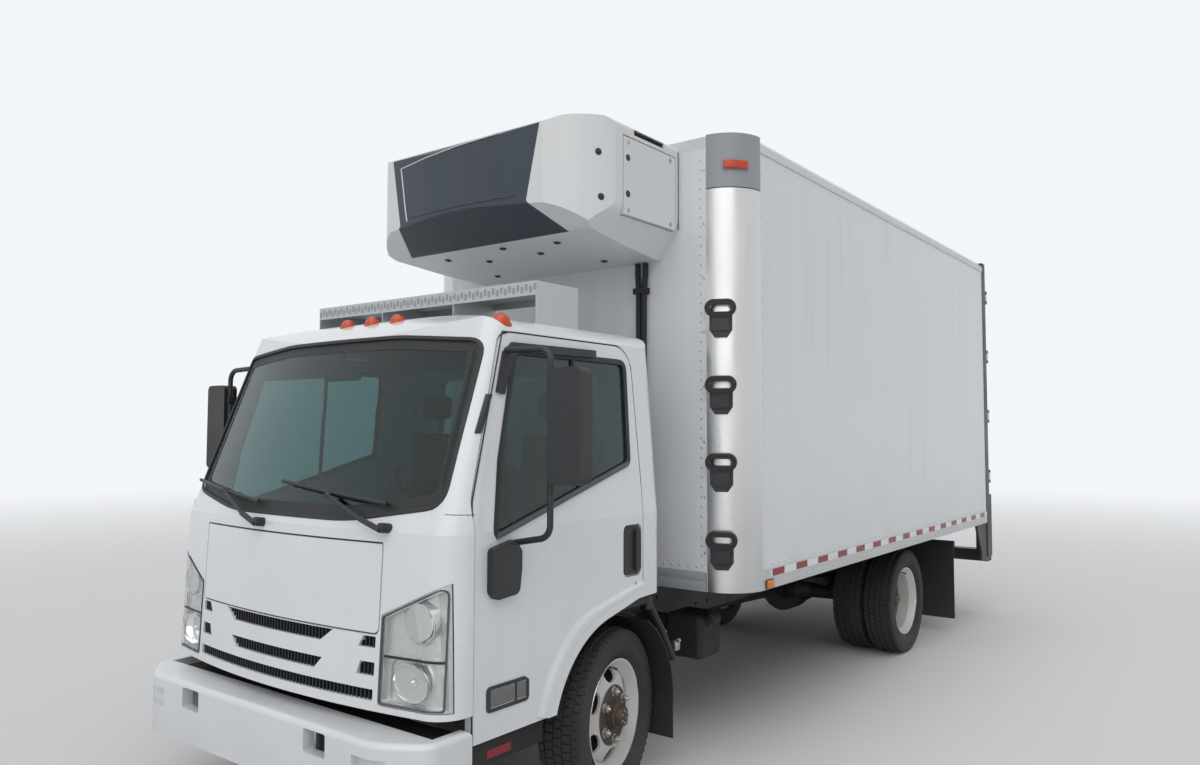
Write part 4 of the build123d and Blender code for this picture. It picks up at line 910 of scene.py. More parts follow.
# %% [markdown]
# Five red marker lamps stand on the roof's front edge. The solid part has plain round studs
# there. Each lamp becomes a flat base with a dome on it, and the piece takes the studs' place.

# %% Roof marker lamps
ROOF_LAMP_ROW = 0.614
ROOF_LAMPS = ((-0.851, 2.204), (-0.1875, 2.259), (0.0, 2.261), (0.1875, 2.259), (0.851, 2.204))
lamps = []
for x, z in ROOF_LAMPS:
    size = 1.25 if abs(x) > 0.5 else 1.0
    y = back(ROOF_LAMP_ROW)
    base = barrel((x, y, z - 0.016), (x, y, z + 0.008 * size), 0.039 * size, sides=28, edge=0.003)
    shell = dome((x, y, z + 0.007 * size), 0.034 * size, 0.037 * size, sides=28, rings=14)
    lamps += [base, shell]
roof_lamps = hand_over(joined(lamps), "roof_lamp_domes", lamp_red, "cab")
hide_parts("marker_lamps")
print("roof lamps:", len(ROOF_LAMPS))

# %% [markdown]
# The platform on the roof is a folded sheet with a serrated grip strip along its front. The strip
# is a row of short teeth, and the dark gap between each two is a grey patch laid on its face:
# painted shade. The deck carries the raised lozenges of tread plate, turned one way and then the
# other. A lozenge is a small ball scaled flat, and two arrays spread it over the deck.

# %% Roof platform grip
# The bars below are grey patches of painted shade, one for the gap between each two teeth.
gap_shades = []
TEETH = 62
LOZENGE_PITCH = 0.033
for number in range(TEETH):
    x = -0.800 + 1.600 * number / (TEETH - 1)
    gap_shades.append(bar(x - 0.008, x + 0.008, 0.8885, 0.8905, 2.388 + (number % 2) * 0.010,
                    2.418 + (number % 2) * 0.010, edge=0.0008, segments=1))
hand_over(joined(gap_shades), "platform_gap_shade", cap_grey, "cab")
fresh()
bpy.ops.mesh.primitive_ico_sphere_add(subdivisions=1, radius=1, location=(0, 0, 0))
lozenge = bpy.context.object
tread = []
for offset, angle in ((0, -45), (LOZENGE_PITCH / 2, 45)):
    turned = Matrix.Rotation(math.radians(angle), 4, "Z")
    shift = Matrix.Translation((-0.795 + offset, back(0.912) + offset, 2.412))
    mark = copied(lozenge, shift @ turned @ Matrix.Diagonal((0.011, 0.0035, 0.0018, 1)))
    tread.append(row(row(mark, 48, (LOZENGE_PITCH, 0, 0)), 8, (0, LOZENGE_PITCH, 0)))
bpy.data.objects.remove(lozenge)
hand_over(joined(tread), "platform_tread", tread_metal, "cab", smooth=60)
print("platform teeth:", TEETH)

# %% [markdown]
# A door window sits in a black rubber seal, and along its slanting lower edge runs a wider grey
# belt strip that wipes the glass. Both follow the leaning side of the cab and swing with the door,
# as do the side lamp, the lock, and the mirror with its clamps. The same lines make both sides.

# %% Door trim
MIRROR_FACE = 0.6155
WINDOW = [(0.440, 1.314), (1.415, 1.593), (1.435, 2.105), (0.622, 2.105), (0.490, 1.640)]
window_line = spaced(rounded(WINDOW, [0.04, 0.05, 0.06, 0.05, 0.06]), 0.08)
for name, side in SIDES:
    lay = on_flank(side)
    body = f"door_{name}"
    seal = outlined(window_line, lay, width=0.026, thick=0.012, lift=-0.002)
    soften(seal)
    hand_over(seal, f"window_seal_{name}", seal_rubber, body)
    belt_line = [Vector(p) for p in ((0.462, 1.322), (1.392, 1.588), (1.392, 1.612), (0.462, 1.346))]
    belt = outlined(spaced(belt_line, 0.1), lay, thick=0.010, lift=0.005)
    soften(belt)
    hand_over(belt, f"belt_strip_{name}", belt_rubber, body)
    divider = tube([lay(1.02, 1.485, -0.004), lay(1.02, 2.10, -0.004)], 0.011)
    hand_over(divider, f"window_divider_{name}", seal_rubber, body)
    lenses = [soften(outlined(rounded(rectangle(d0, d1, 0.669, 0.735), 0.008), lay, thick=0.010,
                              lift=-0.003)) for d0, d1 in ((0.437, 0.574), (0.589, 0.645))]
    hand_over(joined(lenses), f"side_lamp_lens_{name}", lamp_smoked, body)
    lock = barrel(lay(1.43, 1.02, -0.01), lay(1.43, 1.02, 0.004), 0.012)
    hand_over(lock, f"door_lock_{name}", bolt_metal, body)
    mirror = outlined(rounded(rectangle(side * 1.188, side * 1.332, 1.560, 1.990), 0.02),
                      on_wall(MIRROR_FACE), thick=0.002, lift=0.001)
    hand_over(mirror, f"mirror_glass_{name}", bright_metal, body)
    clamps = [bar(side * 1.157, side * 1.183, 0.556, 0.588, z, z + 0.045, edge=0.004) for z in (1.62, 1.90)]
    clamps.append(bar(side * 1.180, side * 1.200, 0.560, 0.590, 1.70, 1.86, edge=0.006))
    hand_over(joined(clamps), f"mirror_clamps_{name}", black_plastic, body)
print("door trim on both sides")

# %% [markdown]
# Everything in a wheel is round its axle. A closed section spun round the X axis gives a ring, and
# a single block repeated by a spin with copies gives a row. Wheels are made at the origin, with the
# axle along X, because a spin is simplest there, and are taken to their places afterwards.

# %% Shapes round an axle
def section_ring(section, steps=96):
    """Closed outline of (x, radius) points spun round the X axis."""
    fresh()
    bpy.ops.mesh.primitive_circle_add(vertices=len(section), fill_type="NOTHING")
    piece = bpy.context.object
    for vertex, (x, radius) in zip(piece.data.vertices, section):
        vertex.co = (x, 0, radius)
    bpy.ops.object.mode_set(mode="EDIT")
    bpy.ops.mesh.select_all(action="SELECT")
    bpy.ops.mesh.spin(steps=steps, angle=2 * math.pi, center=(0, 0, 0), axis=(1, 0, 0), use_auto_merge=True)
    bpy.ops.mesh.select_all(action="SELECT")
    bpy.ops.mesh.remove_doubles(threshold=0.00005)
    bpy.ops.mesh.normals_make_consistent(inside=False)
    bpy.ops.object.mode_set(mode="OBJECT")
    return piece


def ring_of(piece, count):
    """Copies of a piece's mesh all round the X axis."""
    fresh(piece)
    bpy.ops.object.mode_set(mode="EDIT")
    bpy.ops.mesh.select_all(action="SELECT")
    bpy.ops.mesh.spin(steps=count - 1, dupli=True, angle=2 * math.pi * (count - 1) / count,
                      center=(0, 0, 0), axis=(1, 0, 0))
    bpy.ops.object.mode_set(mode="OBJECT")
    return piece


def local_bar(x0, x1, y0, y1, z0, z1, edge):
    """Block in a wheel's own frame, where the axle is the X axis."""
    piece = bar(x0, x1, 0, y1 - y0, z0, z1, edge=edge, segments=1)
    piece.data.transform(Matrix.Translation((0, y0 - back(0), 0)))
    return piece


print("shapes round an axle ready")

# %% [markdown]
# A truck tyre is cast in a mould whose rings press ribs into its side and whose blocks cut the
# tread. Here the section's crown is the bottom of the grooves, and five rows of blocks stand on it:
# one bevelled bar for each row, repeated round the axle. The bars are set a little low, because
# the corners of a flat block would otherwise reach out past the tyre's radius. A row of small bars
# marks each shoulder.

# %% Tyre with its tread
TYRE_R, TYRE_HALF, BEAD_R = 0.4055, 0.113, 0.248
TREAD_DEEP = 0.009
BLOCK_SAG = 0.0004
BLOCK_HALF, BLOCK_TURN, BLOCKS = 0.0172, 2.9, 66
RIBS = ((-0.0865, 0.030, 0.0075), (-0.0435, 0.035, 0.0), (0.0, 0.035, 0.0), (0.0435, 0.035, 0.0),
        (0.0865, 0.030, 0.0075))


def tyre_section():
    """Half the section from the bead to the crown, then its mirror image."""
    half = [(0.072, BEAD_R), (0.076, 0.258), (0.080, 0.266), (0.086, 0.272), (0.093, 0.281),
            (0.0945, 0.283), (0.0965, 0.2835), (0.104, 0.296), (0.1055, 0.298), (0.1075, 0.2985),
            (0.1110, 0.3120), (TYRE_HALF, 0.3200), (0.1128, 0.3260), (0.1105, 0.3420), (0.1110, 0.3440),
            (0.1095, 0.3470), (0.1073, 0.3715), (0.1040, 0.3860), (0.0985, 0.3915)]
    crown = []
    for x in (0.0900, 0.0650, 0.0450, 0.0225, 0.0):
        crown.append((x, TYRE_R - TREAD_DEEP - (0.0085 * (x / 0.09) ** 2)))
    right = half + crown
    return right + [(-x, radius) for x, radius in right[-2::-1]]


def make_tyre():
    """Tyre round the X axis with its tread."""
    carcass = section_ring(tyre_section())
    parts = [carcass]
    for number, (middle, wide, drop) in enumerate(RIBS):
        top = TYRE_R - drop - BLOCK_SAG
        block = local_bar(middle - wide / 2, middle + wide / 2, -BLOCK_HALF, BLOCK_HALF,
                          top - TREAD_DEEP - 0.004, top, 0.0018)
        block.data.transform(Matrix.Rotation(math.radians(BLOCK_TURN * (number % 2)), 4, "X"))
        parts.append(ring_of(block, BLOCKS))
    for side in (1, -1):
        notch = local_bar(side * 0.1015, side * 0.1085, -0.0100, 0.0100, 0.3690, 0.3885, 0.002)
        parts.append(ring_of(notch, BLOCKS))
    return joined(parts)


tyre_model = make_tyre()
print("tyre faces:", len(tyre_model.data.polygons))

# %% [markdown]
# Each tyre is a copy of that one, set in its place by a matrix. The front pair follows the parked
# steering angle. The pieces stand for the plain tyres of the solid part and turn with the wheels.

# %% Tyres on all wheels
AXLES = (1.314, 5.124)
KING_X, FRONT_OUT = 0.690, 0.142
REAR_OUT, REAR_IN = 0.952, 0.698
STEER = math.radians(10)
HUB_HIGH = 0.4055


def wheel_place(end, side, out):
    """Matrix that takes a wheel's own frame to its place on the truck."""
    facing = Matrix.Identity(4) if side > 0 else Matrix.Rotation(math.pi, 4, "Z")
    if end == "front":
        pin = Matrix.Translation((side * KING_X, back(AXLES[0]), HUB_HIGH)) @ Matrix.Rotation(STEER, 4, "Z")
    else:
        pin = Matrix.Translation((0, back(AXLES[1]), HUB_HIGH))
    return pin @ facing @ Matrix.Translation((out, 0, 0))


for name, side in SIDES:
    front = copied(tyre_model, wheel_place("front", side, FRONT_OUT))
    hand_over(front, f"front_tread_{name}", tyre_rubber, f"front_wheel_{name}")
    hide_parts(f"front_tyre_{name}")
    pair = [copied(tyre_model, wheel_place("rear", side, out)) for out in (REAR_OUT, REAR_IN)]
    rear = hand_over(joined(pair), f"rear_treads_{name}", tyre_rubber, f"rear_wheels_{name}")
    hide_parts(f"rear_tyres_{name}")
bpy.data.objects.remove(tyre_model)
print("tyres placed: 6")

# %% [markdown]
# A wheel is held by six nuts on a ring that is brown with old grease. The nuts are six-sided
# barrels with a stud's rounded tip. A bright metal lip round the rim's painted edge is a painted
# highlight, a valve leans out beside a hand hole, and a balance weight is clipped on the lip. The
# hub has a bolted cap.

# %% Wheel nuts, hub ring, lip and valve
BOLT_R = 0.111
FRONT_FACE, REAR_FACE, RIM_HALF = 0.074, -0.115, 0.088


def wheel_dressing(face, proud, lip_x):
    """Nuts, hub ring, hub cap bolts, rim lip highlight, valve and weights in a wheel's own frame."""
    ring = section_ring([(face - 0.002, 0.064), (face + 0.006, 0.066), (face + 0.008, 0.090),
                         (face + 0.005, 0.136), (face - 0.002, 0.140)], steps=72)
    nut = barrel((face + 0.004, 0, BOLT_R), (face + 0.028, 0, BOLT_R), 0.0185, sides=6, edge=0.0015)
    washer = barrel((face + 0.003, 0, BOLT_R), (face + 0.010, 0, BOLT_R), 0.024, sides=24, edge=0.001)
    stud = dome((face + 0.027, 0, BOLT_R), 0.0105, 0.014, sides=14, rings=8, axis="X")
    nuts = ring_of(joined([nut, washer, stud]), 6)
    cap = ring_of(dome((face + proud - 0.003, 0, 0.028), 0.006, 0.006, sides=8, rings=4, axis="X"), 6)
    collar = section_ring([(face + 0.004, 0.0595), (face + 0.004, 0.0680), (face + 0.013, 0.0665),
                           (face + 0.015, 0.0595)], steps=60)
    lip = section_ring([(lip_x - 0.0035, 0.2580), (lip_x + 0.0012, 0.2590), (lip_x + 0.0016, 0.2612),
                        (lip_x - 0.0010, 0.2626), (lip_x - 0.0040, 0.2620)])
    valve = tube([(lip_x - 0.050, 0.0, 0.222), (lip_x - 0.020, 0.010, 0.218),
                  (lip_x - 0.004, 0.018, 0.212)], 0.0045)
    valve_cap = barrel((lip_x - 0.010, 0.0155, 0.2140), (lip_x + 0.002, 0.0205, 0.2100), 0.0062, sides=12,
                       edge=0.001)
    weight = local_bar(lip_x - 0.004, lip_x + 0.004, -0.028, 0.028, 0.2510, 0.2590, 0.002)
    weight.data.transform(Matrix.Rotation(math.radians(-72), 4, "X"))
    return joined([ring, collar]), joined([nuts, cap]), joined([lip, weight]), joined([valve, valve_cap])


# The bright lip on the rim's painted edge is a painted highlight.
DRESSING = (("hub_ring", hub_grease, "chassis_black"), ("wheel_nuts", bolt_metal, "exhaust_metal"),
            ("rim_lip_highlight", bright_metal, "wheel_paint"), ("valve", black_plastic, "black_plastic"))
front_set = wheel_dressing(FRONT_FACE, 0.066, RIM_HALF)
rear_set = wheel_dressing(REAR_FACE, 0.146, RIM_HALF)
for end, out, dressing in (("front", FRONT_OUT, front_set), ("rear", REAR_OUT, rear_set)):
    for name, side in SIDES:
        body = f"front_wheel_{name}" if end == "front" else f"rear_wheels_{name}"
        place = wheel_place(end, side, out)
        for piece, (label, material, slot) in zip(dressing, DRESSING):
            hand_over(copied(piece, place), f"{end}_{label}_{name}", material, body)
for piece in front_set + rear_set:
    bpy.data.objects.remove(piece)
print("wheels dressed: 4")

# %% [markdown]
# The insulated panels are riveted along every edge. One rivet is half a ball, and the rows are
# arrays of it. On the front wall a close column of rivets and a column of bolts run beside each
# corner post, and a row runs above the grey front rail, which has two steps.

# %% Rivets and front rail
BOX_X, PANEL_X, RAIL_LOW, FRONT_WALL = 1.2192, 1.2142, 0.893, 2.080
RIVET_PITCH = 0.079
OUTWARD = {1: "X", -1: "-X"}


def rivet(x, d, z, axis, tall=0.0034):
    """Flat round rivet head that faces along an axis."""
    return dome((x, back(d), z), 0.0075, tall, sides=8, rings=4, axis=axis)


for name, side in SIDES:
    parts = []
    for x, z in ((PANEL_X, 1.024), (PANEL_X, 3.294), (BOX_X, 3.325), (BOX_X, 0.918)):
        parts.append(row(rivet(side * x, 2.34, z, OUTWARD[side]), 58, (0, RIVET_PITCH, 0)))
    for d in (2.318, 6.928):
        parts.append(row(rivet(side * PANEL_X, d, 1.06, OUTWARD[side]), 29, (0, 0, RIVET_PITCH)))
    parts.append(row(rivet(side * 0.966, FRONT_WALL, 1.03, "-Y", tall=0.0036), 43, (0, 0, 0.053)))
    bolt = dome((side * 0.986, back(FRONT_WALL), 1.10), 0.009, 0.006, sides=10, rings=4, axis="-Y")
    parts.append(row(bolt, 8, (0, 0, 0.30)))
    hand_over(joined(parts), f"panel_rivets_{name}", rail_metal, "chassis")
low_row = row(rivet(-0.93, FRONT_WALL, 1.022, "-Y"), 36, (0.0532, 0, 0))
hand_over(low_row, "front_wall_rivets", rail_metal, "chassis")
steps = joined([bar(-0.985, 0.985, 2.0705, 2.078, RAIL_LOW, 0.948, edge=0.002),
                bar(-0.985, 0.985, 2.0735, 2.079, 0.948, 0.998, edge=0.002)])
hand_over(steps, "front_rail_steps", cap_grey, "chassis")
print("panel rivets on three walls")

# %% [markdown]
# A band of reflective tape runs along the side rails and across the back: red blocks on white.
# It is two thin layers on the rail's face. The red ones are a row of short strips. An amber lamp
# marks the front end of the rail, and a red one is bent round the grey cap of the corner post.

# %% Reflective tape and side marker lamps
TAPE_LOW, TAPE_HIGH = 0.957, 0.998
POST_X, POST_DEPTH, POST_R = 0.9992, 2.300, 0.220
CAP_LAMP_Z = 3.215
RAIL_SCREWS = (2.851, 3.264, 3.681, 4.095, 4.501, 4.909, 5.332, 5.74, 6.15, 6.56)


def on_post(side):
    """Function that lays (length round the bend, height) on a corner post's round face."""
    return lambda arc, z, lift: Vector((side * (POST_X + (POST_R + lift) * math.cos(arc / POST_R)),
                                        back(POST_DEPTH - (POST_R + lift) * math.sin(arc / POST_R)), z))


for name, side in SIDES:
    outer = side * (BOX_X + 0.0008)
    white = bar(side * BOX_X, outer, 2.390, 6.930, TAPE_LOW, TAPE_HIGH, edge=0.0002, segments=1)
    hand_over(white, f"tape_white_{name}", tape_white, "chassis")
    red = bar(outer, side * (BOX_X + 0.0014), 2.410, 2.560, TAPE_LOW + 0.001, TAPE_HIGH - 0.001,
              edge=0.0002, segments=1)
    hand_over(row(red, 15, (0, 0.307, 0)), f"tape_red_{name}", tape_red, "chassis")
    base = bar(side * BOX_X, side * (BOX_X + 0.004), 2.328, 2.420, 0.896, 0.946, edge=0.001, segments=1)
    lens = bar(side * (BOX_X + 0.003), side * (BOX_X + 0.014), 2.334, 2.414, 0.900, 0.942, edge=0.004,
               segments=3)
    hand_over(base, f"marker_base_{name}", black_plastic, "chassis")
    hand_over(lens, f"side_marker_{name}", lamp_amber, "chassis")
    middle = POST_R * math.radians(46)
    edge = rectangle(middle - 0.075, middle + 0.075, CAP_LAMP_Z - 0.030, CAP_LAMP_Z + 0.030)
    foot = outlined(spaced(rounded(edge, 0.010), 0.02), on_post(side), thick=0.006, lift=0.003)
    inner = [(middle + (p.x - middle) * 0.88, CAP_LAMP_Z + (p.y - CAP_LAMP_Z) * 0.76)
             for p in spaced(rounded(edge, 0.012), 0.02)]
    shell = soften(outlined(inner, on_post(side), thick=0.014, lift=0.010), width=0.004, segments=3)
    hand_over(foot, f"cap_lamp_base_{name}", cap_grey, "chassis")
    hand_over(shell, f"cap_lamp_{name}", lamp_red, "chassis")
    screws = [dome((side * BOX_X, back(d), 0.922), 0.007, 0.005, sides=8, rings=4, axis=OUTWARD[side])
              for d in RAIL_SCREWS]
    hand_over(joined(screws), f"rail_screws_{name}", bolt_metal, "chassis")
print("tape and markers on both sides")

# %% [markdown]
# The rear is not seen in the view, so its doors follow what such boxes have: a black gasket round
# each leaf, a folding handle and a keeper on the lock rod, and bolts in the hinge straps. They are
# laid on the door's outer face and swing with it.

# %% Rear doors
REAR = 7.046
HINGE_HEIGHTS = (1.330, 1.910, 2.490, 3.070)
for name, side in SIDES:
    body = f"box_door_{name}"
    leaf = rectangle(side * 0.010, side * 1.090, 1.178, 3.266)
    gasket = outlined(leaf if side > 0 else leaf[::-1], on_wall(REAR), width=0.022, thick=0.010, lift=0.002)
    hand_over(gasket, f"door_gasket_{name}", seal_rubber, body)
    x = side * 0.300
    handle = bar(x - 0.016, x + 0.016, REAR + 0.036, REAR + 0.048, 1.420, 1.700, edge=0.005)
    pivot = barrel((side * 0.26, back(REAR + 0.028), 1.440), (side * 0.32, back(REAR + 0.042), 1.440), 0.010)
    keeper = bar(x - 0.030, x + 0.030, REAR, REAR + 0.034, 1.640, 1.676, edge=0.004)
    foot = bar(side * 0.236, side * 0.284, REAR + 0.012, REAR + 0.030, 1.405, 1.475, edge=0.006)
    lever = joined([handle, pivot, keeper, foot])
    hand_over(lever, f"lock_lever_{name}", bolt_metal, body)
    bolts = [dome((side * x, back(REAR + 0.035), z + up), 0.007, 0.005, sides=8, rings=4, axis="Y")
             for z in HINGE_HEIGHTS for x in (0.962, 1.012, 1.062) for up in (-0.015, 0.015)]
    hand_over(joined(bolts), f"hinge_bolts_{name}", bolt_metal, body)
print("rear doors dressed")

# %% [markdown]
# The frame round the doors carries three round lamps on each side of the sill, a row of marker
# lamps above the doors, and a blank number plate in its frame. Tape runs across the underrun bar.
# The round lamps are a flat dome in a rubber ring, the others a rounded bar on a thin base.

# %% Rear lamps, number plate and tape
REAR_LAMPS = ((0.985, lamp_red, "lamp_red"), (0.840, lamp_amber, "lamp_red"),
              (0.695, lamp_clear, "lamp_clear"))
REAR_LAMP_Z = 1.030
for name, side in SIDES:
    for number, (x, material, slot) in enumerate(REAR_LAMPS):
        ring = barrel((side * x, back(REAR), REAR_LAMP_Z), (side * x, back(REAR + 0.012), REAR_LAMP_Z),
                      0.060, sides=32, edge=0.004)
        shell = dome((side * x, back(REAR + 0.010), REAR_LAMP_Z), 0.052, 0.016, sides=32, rings=12, axis="Y")
        hand_over(ring, f"rear_lamp_ring_{name}_{number}", seal_rubber, "chassis")
        hand_over(shell, f"rear_lamp_{name}_{number}", material, "chassis")
for number, x in enumerate((-1.12, -0.16, 0.0, 0.16, 1.12)):
    base = bar(x - 0.052, x + 0.052, REAR, REAR + 0.006, 3.318, 3.358, edge=0.002)
    lens = bar(x - 0.046, x + 0.046, REAR + 0.004, REAR + 0.020, 3.323, 3.353, edge=0.006, segments=3)
    hand_over(base, f"top_lamp_base_{number}", black_plastic, "chassis")
    hand_over(lens, f"top_lamp_{number}", lamp_red, "chassis")
plate = bar(-0.155, 0.155, REAR + 0.001, REAR + 0.004, 0.965, 1.125, edge=0.001)
hand_over(plate, "number_plate", panel_white, "chassis")
rim = outlined(rectangle(-0.165, 0.165, 0.955, 1.135), on_wall(REAR), width=0.014, thick=0.010, lift=0.004)
hand_over(rim, "number_plate_frame", black_plastic, "chassis")
bar_tape = row(bar(-1.12, -0.97, 7.1955, 7.1965, 0.540, 0.590, edge=0.0002, segments=1), 8, (0.2986, 0, 0))
hand_over(bar_tape, "underrun_tape_red", tape_red, "chassis")
bar_white = bar(-1.15, 1.15, 7.1945, 7.1958, 0.538, 0.592, edge=0.0002, segments=1)
hand_over(bar_white, "underrun_tape_white", tape_white, "chassis")
print("rear lamps:", 2 * len(REAR_LAMPS) + 5)

# %% [markdown]
# The cooling unit's housing is moulded in two colours. A thin light line rises over the dark front
# panel, and a crease runs across it. The side door has a bolt at each corner, two quarter-turn
# locks and a slot of air louvres above it, and more bolts show in the rounded corner and in the
# underside. In plan the front is one wide arc with a tighter one at each corner, so that two
# circles give any place on it.

# %% Cooling unit details
UNIT_X, UNIT_FLAT = 0.8235, 0.575
UNIT_BOW_R, UNIT_BOW_DEPTH = 4.4864, 5.6414
UNIT_BEND_R, UNIT_BEND_X, UNIT_BEND_DEPTH = 0.3885, 0.4452, 1.5582
UNDERSIDE = ((1.375, 2.780), (1.700, 2.745), (2.080, 2.720))


def unit_depth(x):
    """Distance behind the bumper of the unit's curved front at a place across it."""
    x = min(abs(x), 0.82)
    if x <= UNIT_FLAT:
        return UNIT_BOW_DEPTH - math.sqrt(UNIT_BOW_R ** 2 - x ** 2)
    reach = max(UNIT_BEND_R ** 2 - (x - UNIT_BEND_X) ** 2, 0.0)
    return UNIT_BEND_DEPTH - math.sqrt(reach)


def underside_z(d):
    """Height of the unit's underside, which falls in two slopes."""
    (d0, z0), (d1, z1) = UNDERSIDE[:2] if d < UNDERSIDE[1][0] else UNDERSIDE[1:]
    return z0 + (z1 - z0) * (d - d0) / (d1 - d0)


def on_unit(x, z, lift):
    """Place on the unit's front, raised towards the front."""
    return Vector((x, back(unit_depth(x) - lift), z))


ridge = [(-0.478, 3.249), (-0.452, 3.12), (-0.430, 3.00), (-0.414, 2.935)]
upper = [(-0.478, 3.249), (-0.25, 3.268), (0.0, 3.284), (0.303, 3.296)]
lines = [tube([on_unit(x, z, 0.0005) for x, z in run], 0.0042) for run in (ridge, upper)]
hand_over(joined(lines), "unit_light_lines", rail_metal, "chassis")
crease = tube([on_unit(x / 10, 2.952 + 0.0008 * (5 - abs(x)), 0.0005) for x in range(-4, 5)], 0.0035)
hand_over(crease, "unit_crease", unit_slate, "chassis")
for name, side in SIDES:
    bolts = [barrel((side * UNIT_X, back(d), z), (side * (UNIT_X + 0.003), back(d), z), 0.013, sides=20,
                    edge=0.001) for d in (1.590, 1.990) for z in (2.900, 3.258)]
    hand_over(joined(bolts), f"unit_door_bolts_{name}", bolt_metal, f"unit_door_{name}")
    locks = [barrel((side * UNIT_X, back(1.585), z), (side * (UNIT_X + 0.004), back(1.585), z), 0.018,
                    sides=24, edge=0.002) for z in (2.985, 3.175)]
    hand_over(joined(locks), f"unit_door_locks_{name}", black_plastic, f"unit_door_{name}")
    skin_bolts = []
    for d, z in ((1.378, 3.162), (1.392, 2.934)):
        x = UNIT_BEND_X + math.sqrt(UNIT_BEND_R ** 2 - (UNIT_BEND_DEPTH - d) ** 2)
        middle = Vector((side * x, back(d), z))
        out = Vector((side * (x - UNIT_BEND_X), back(d) - back(UNIT_BEND_DEPTH), 0)).normalized()
        skin_bolts.append(barrel(middle - out * 0.004, middle + out * 0.003, 0.018, sides=24, edge=0.002))
        skin_bolts.append(barrel(middle + out * 0.002, middle + out * 0.007, 0.009, sides=6, edge=0.001))
    hand_over(joined(skin_bolts), f"unit_skin_bolts_{name}", black_plastic, "chassis")
    seam = tube([(side * (UNIT_X + 0.002), back(2.070), z) for z in (2.885, 3.10, 3.325)], 0.003)
    hand_over(seam, f"unit_back_seam_{name}", seal_rubber, "chassis")
    vanes = row(bar(side * 0.790, side * 0.818, 1.650, 1.654, 3.312, 3.336, edge=0.001, segments=1), 14,
                (0, 0.0205, 0))
    hand_over(vanes, f"unit_louvres_{name}", black_plastic, "chassis")
under_bolts = []
for x, d in ((-0.42, 1.50), (0.42, 1.50), (0.06, 1.46), (0.20, 1.62), (-0.20, 1.62), (-0.42, 1.92),
             (0.42, 1.92)):
    z = underside_z(d)
    under_bolts.append(barrel((x, back(d), z + 0.004), (x, back(d), z - 0.006), 0.020, sides=20, edge=0.002))
    under_bolts.append(dome((x, back(d), z - 0.002), 0.009, 0.010, sides=10, rings=6, axis="-Z"))
hand_over(joined(under_bolts), "unit_underside_bolts", black_plastic, "chassis")
print("unit details done")

# %% [markdown]
# The arch over the front wheel carries a soft wide bulge in the paint. The bulge is a grid laid on
# the side between two edge lines and raised by a smooth profile. Both edges start as arcs round
# the wheel and run out almost level below the door's handle. They are smoothed, the outer one by
# ten passes, so that no kink shows in the paint where the arc ends.

# %% Arch bulge
SHOULDER, SWELL_HIGH, SWELL_FOOT = 0.40, 0.0105, 0.0005


def grid_on(count_a, count_b, place):
    """Grid whose points are set by a function of two shares from 0 to 1."""
    fresh()
    bpy.ops.mesh.primitive_grid_add(x_subdivisions=count_a, y_subdivisions=count_b, size=1)
    piece = bpy.context.object
    for vertex in piece.data.vertices:
        vertex.co = place(vertex.co.x + 0.5, vertex.co.y + 0.5)
    return piece


def swell(share):
    """Height of the bulge across its width: full at the wheel's edge, then a shoulder down to nothing."""
    past = max(0.0, (share - SHOULDER) / (1 - SHOULDER))
    return SWELL_HIGH * (0.5 + 0.5 * math.cos(math.pi * past)) + SWELL_FOOT


def arch_edge(reach, rise, last, passes=1, steps=30):
    """Line beside the wheel arch: an arc to its last angle, then on to the door's edge, eased by passes."""
    turns = (15 + (last - 15) * step / steps for step in range(steps + 1))
    line = [Vector((AXLES[0] - reach * math.cos(math.radians(turn)),
                    HUB_HIGH + reach * math.sin(math.radians(turn)))) for turn in turns]
    for end in (Vector((1.290, 0.9115 + rise)), Vector((1.440, 0.948 + rise))):
        line += [line[-1].lerp(end, share) for share in (0.25, 0.5, 0.75, 1.0)]
    line.append(Vector((1.488, 0.951 + rise)))
    for _ in range(passes):
        inner = [(line[n - 1] + line[n] * 2 + line[n + 1]) / 4 for n in range(1, len(line) - 1)]
        line = [line[0]] + inner + [line[-1]]
    return line


edge_in, edge_out = arch_edge(0.548, 0.048, 75), arch_edge(0.622, 0.084, 60, passes=10)
for name, side in SIDES:
    lay = on_flank(side)

    def bulge_point(a, b, lay=lay):
        """Place on the bulge from shares along and across it."""
        at = min(int(a * (len(edge_in) - 1) + 0.5), len(edge_in) - 1)
        point = edge_in[at].lerp(edge_out[at], b)
        return lay(point.x, point.y, swell(b))

    bulge = grid_on(len(edge_in) - 1, 14, bulge_point)
    modify(bulge, "SOLIDIFY", thickness=0.0008, offset=0)
    hand_over(bulge, f"arch_bulge_{name}", cab_paint, f"door_{name}", smooth=60)
print("arch bulges: 2, with", len(edge_in), "points along each edge")

# %% [markdown]
# A black strip lies in the gap at the door's edges, where the real seal shows. Below the door
# hangs a black sill with a dull red reflector, and the pillar has a black vent slot and a seam.

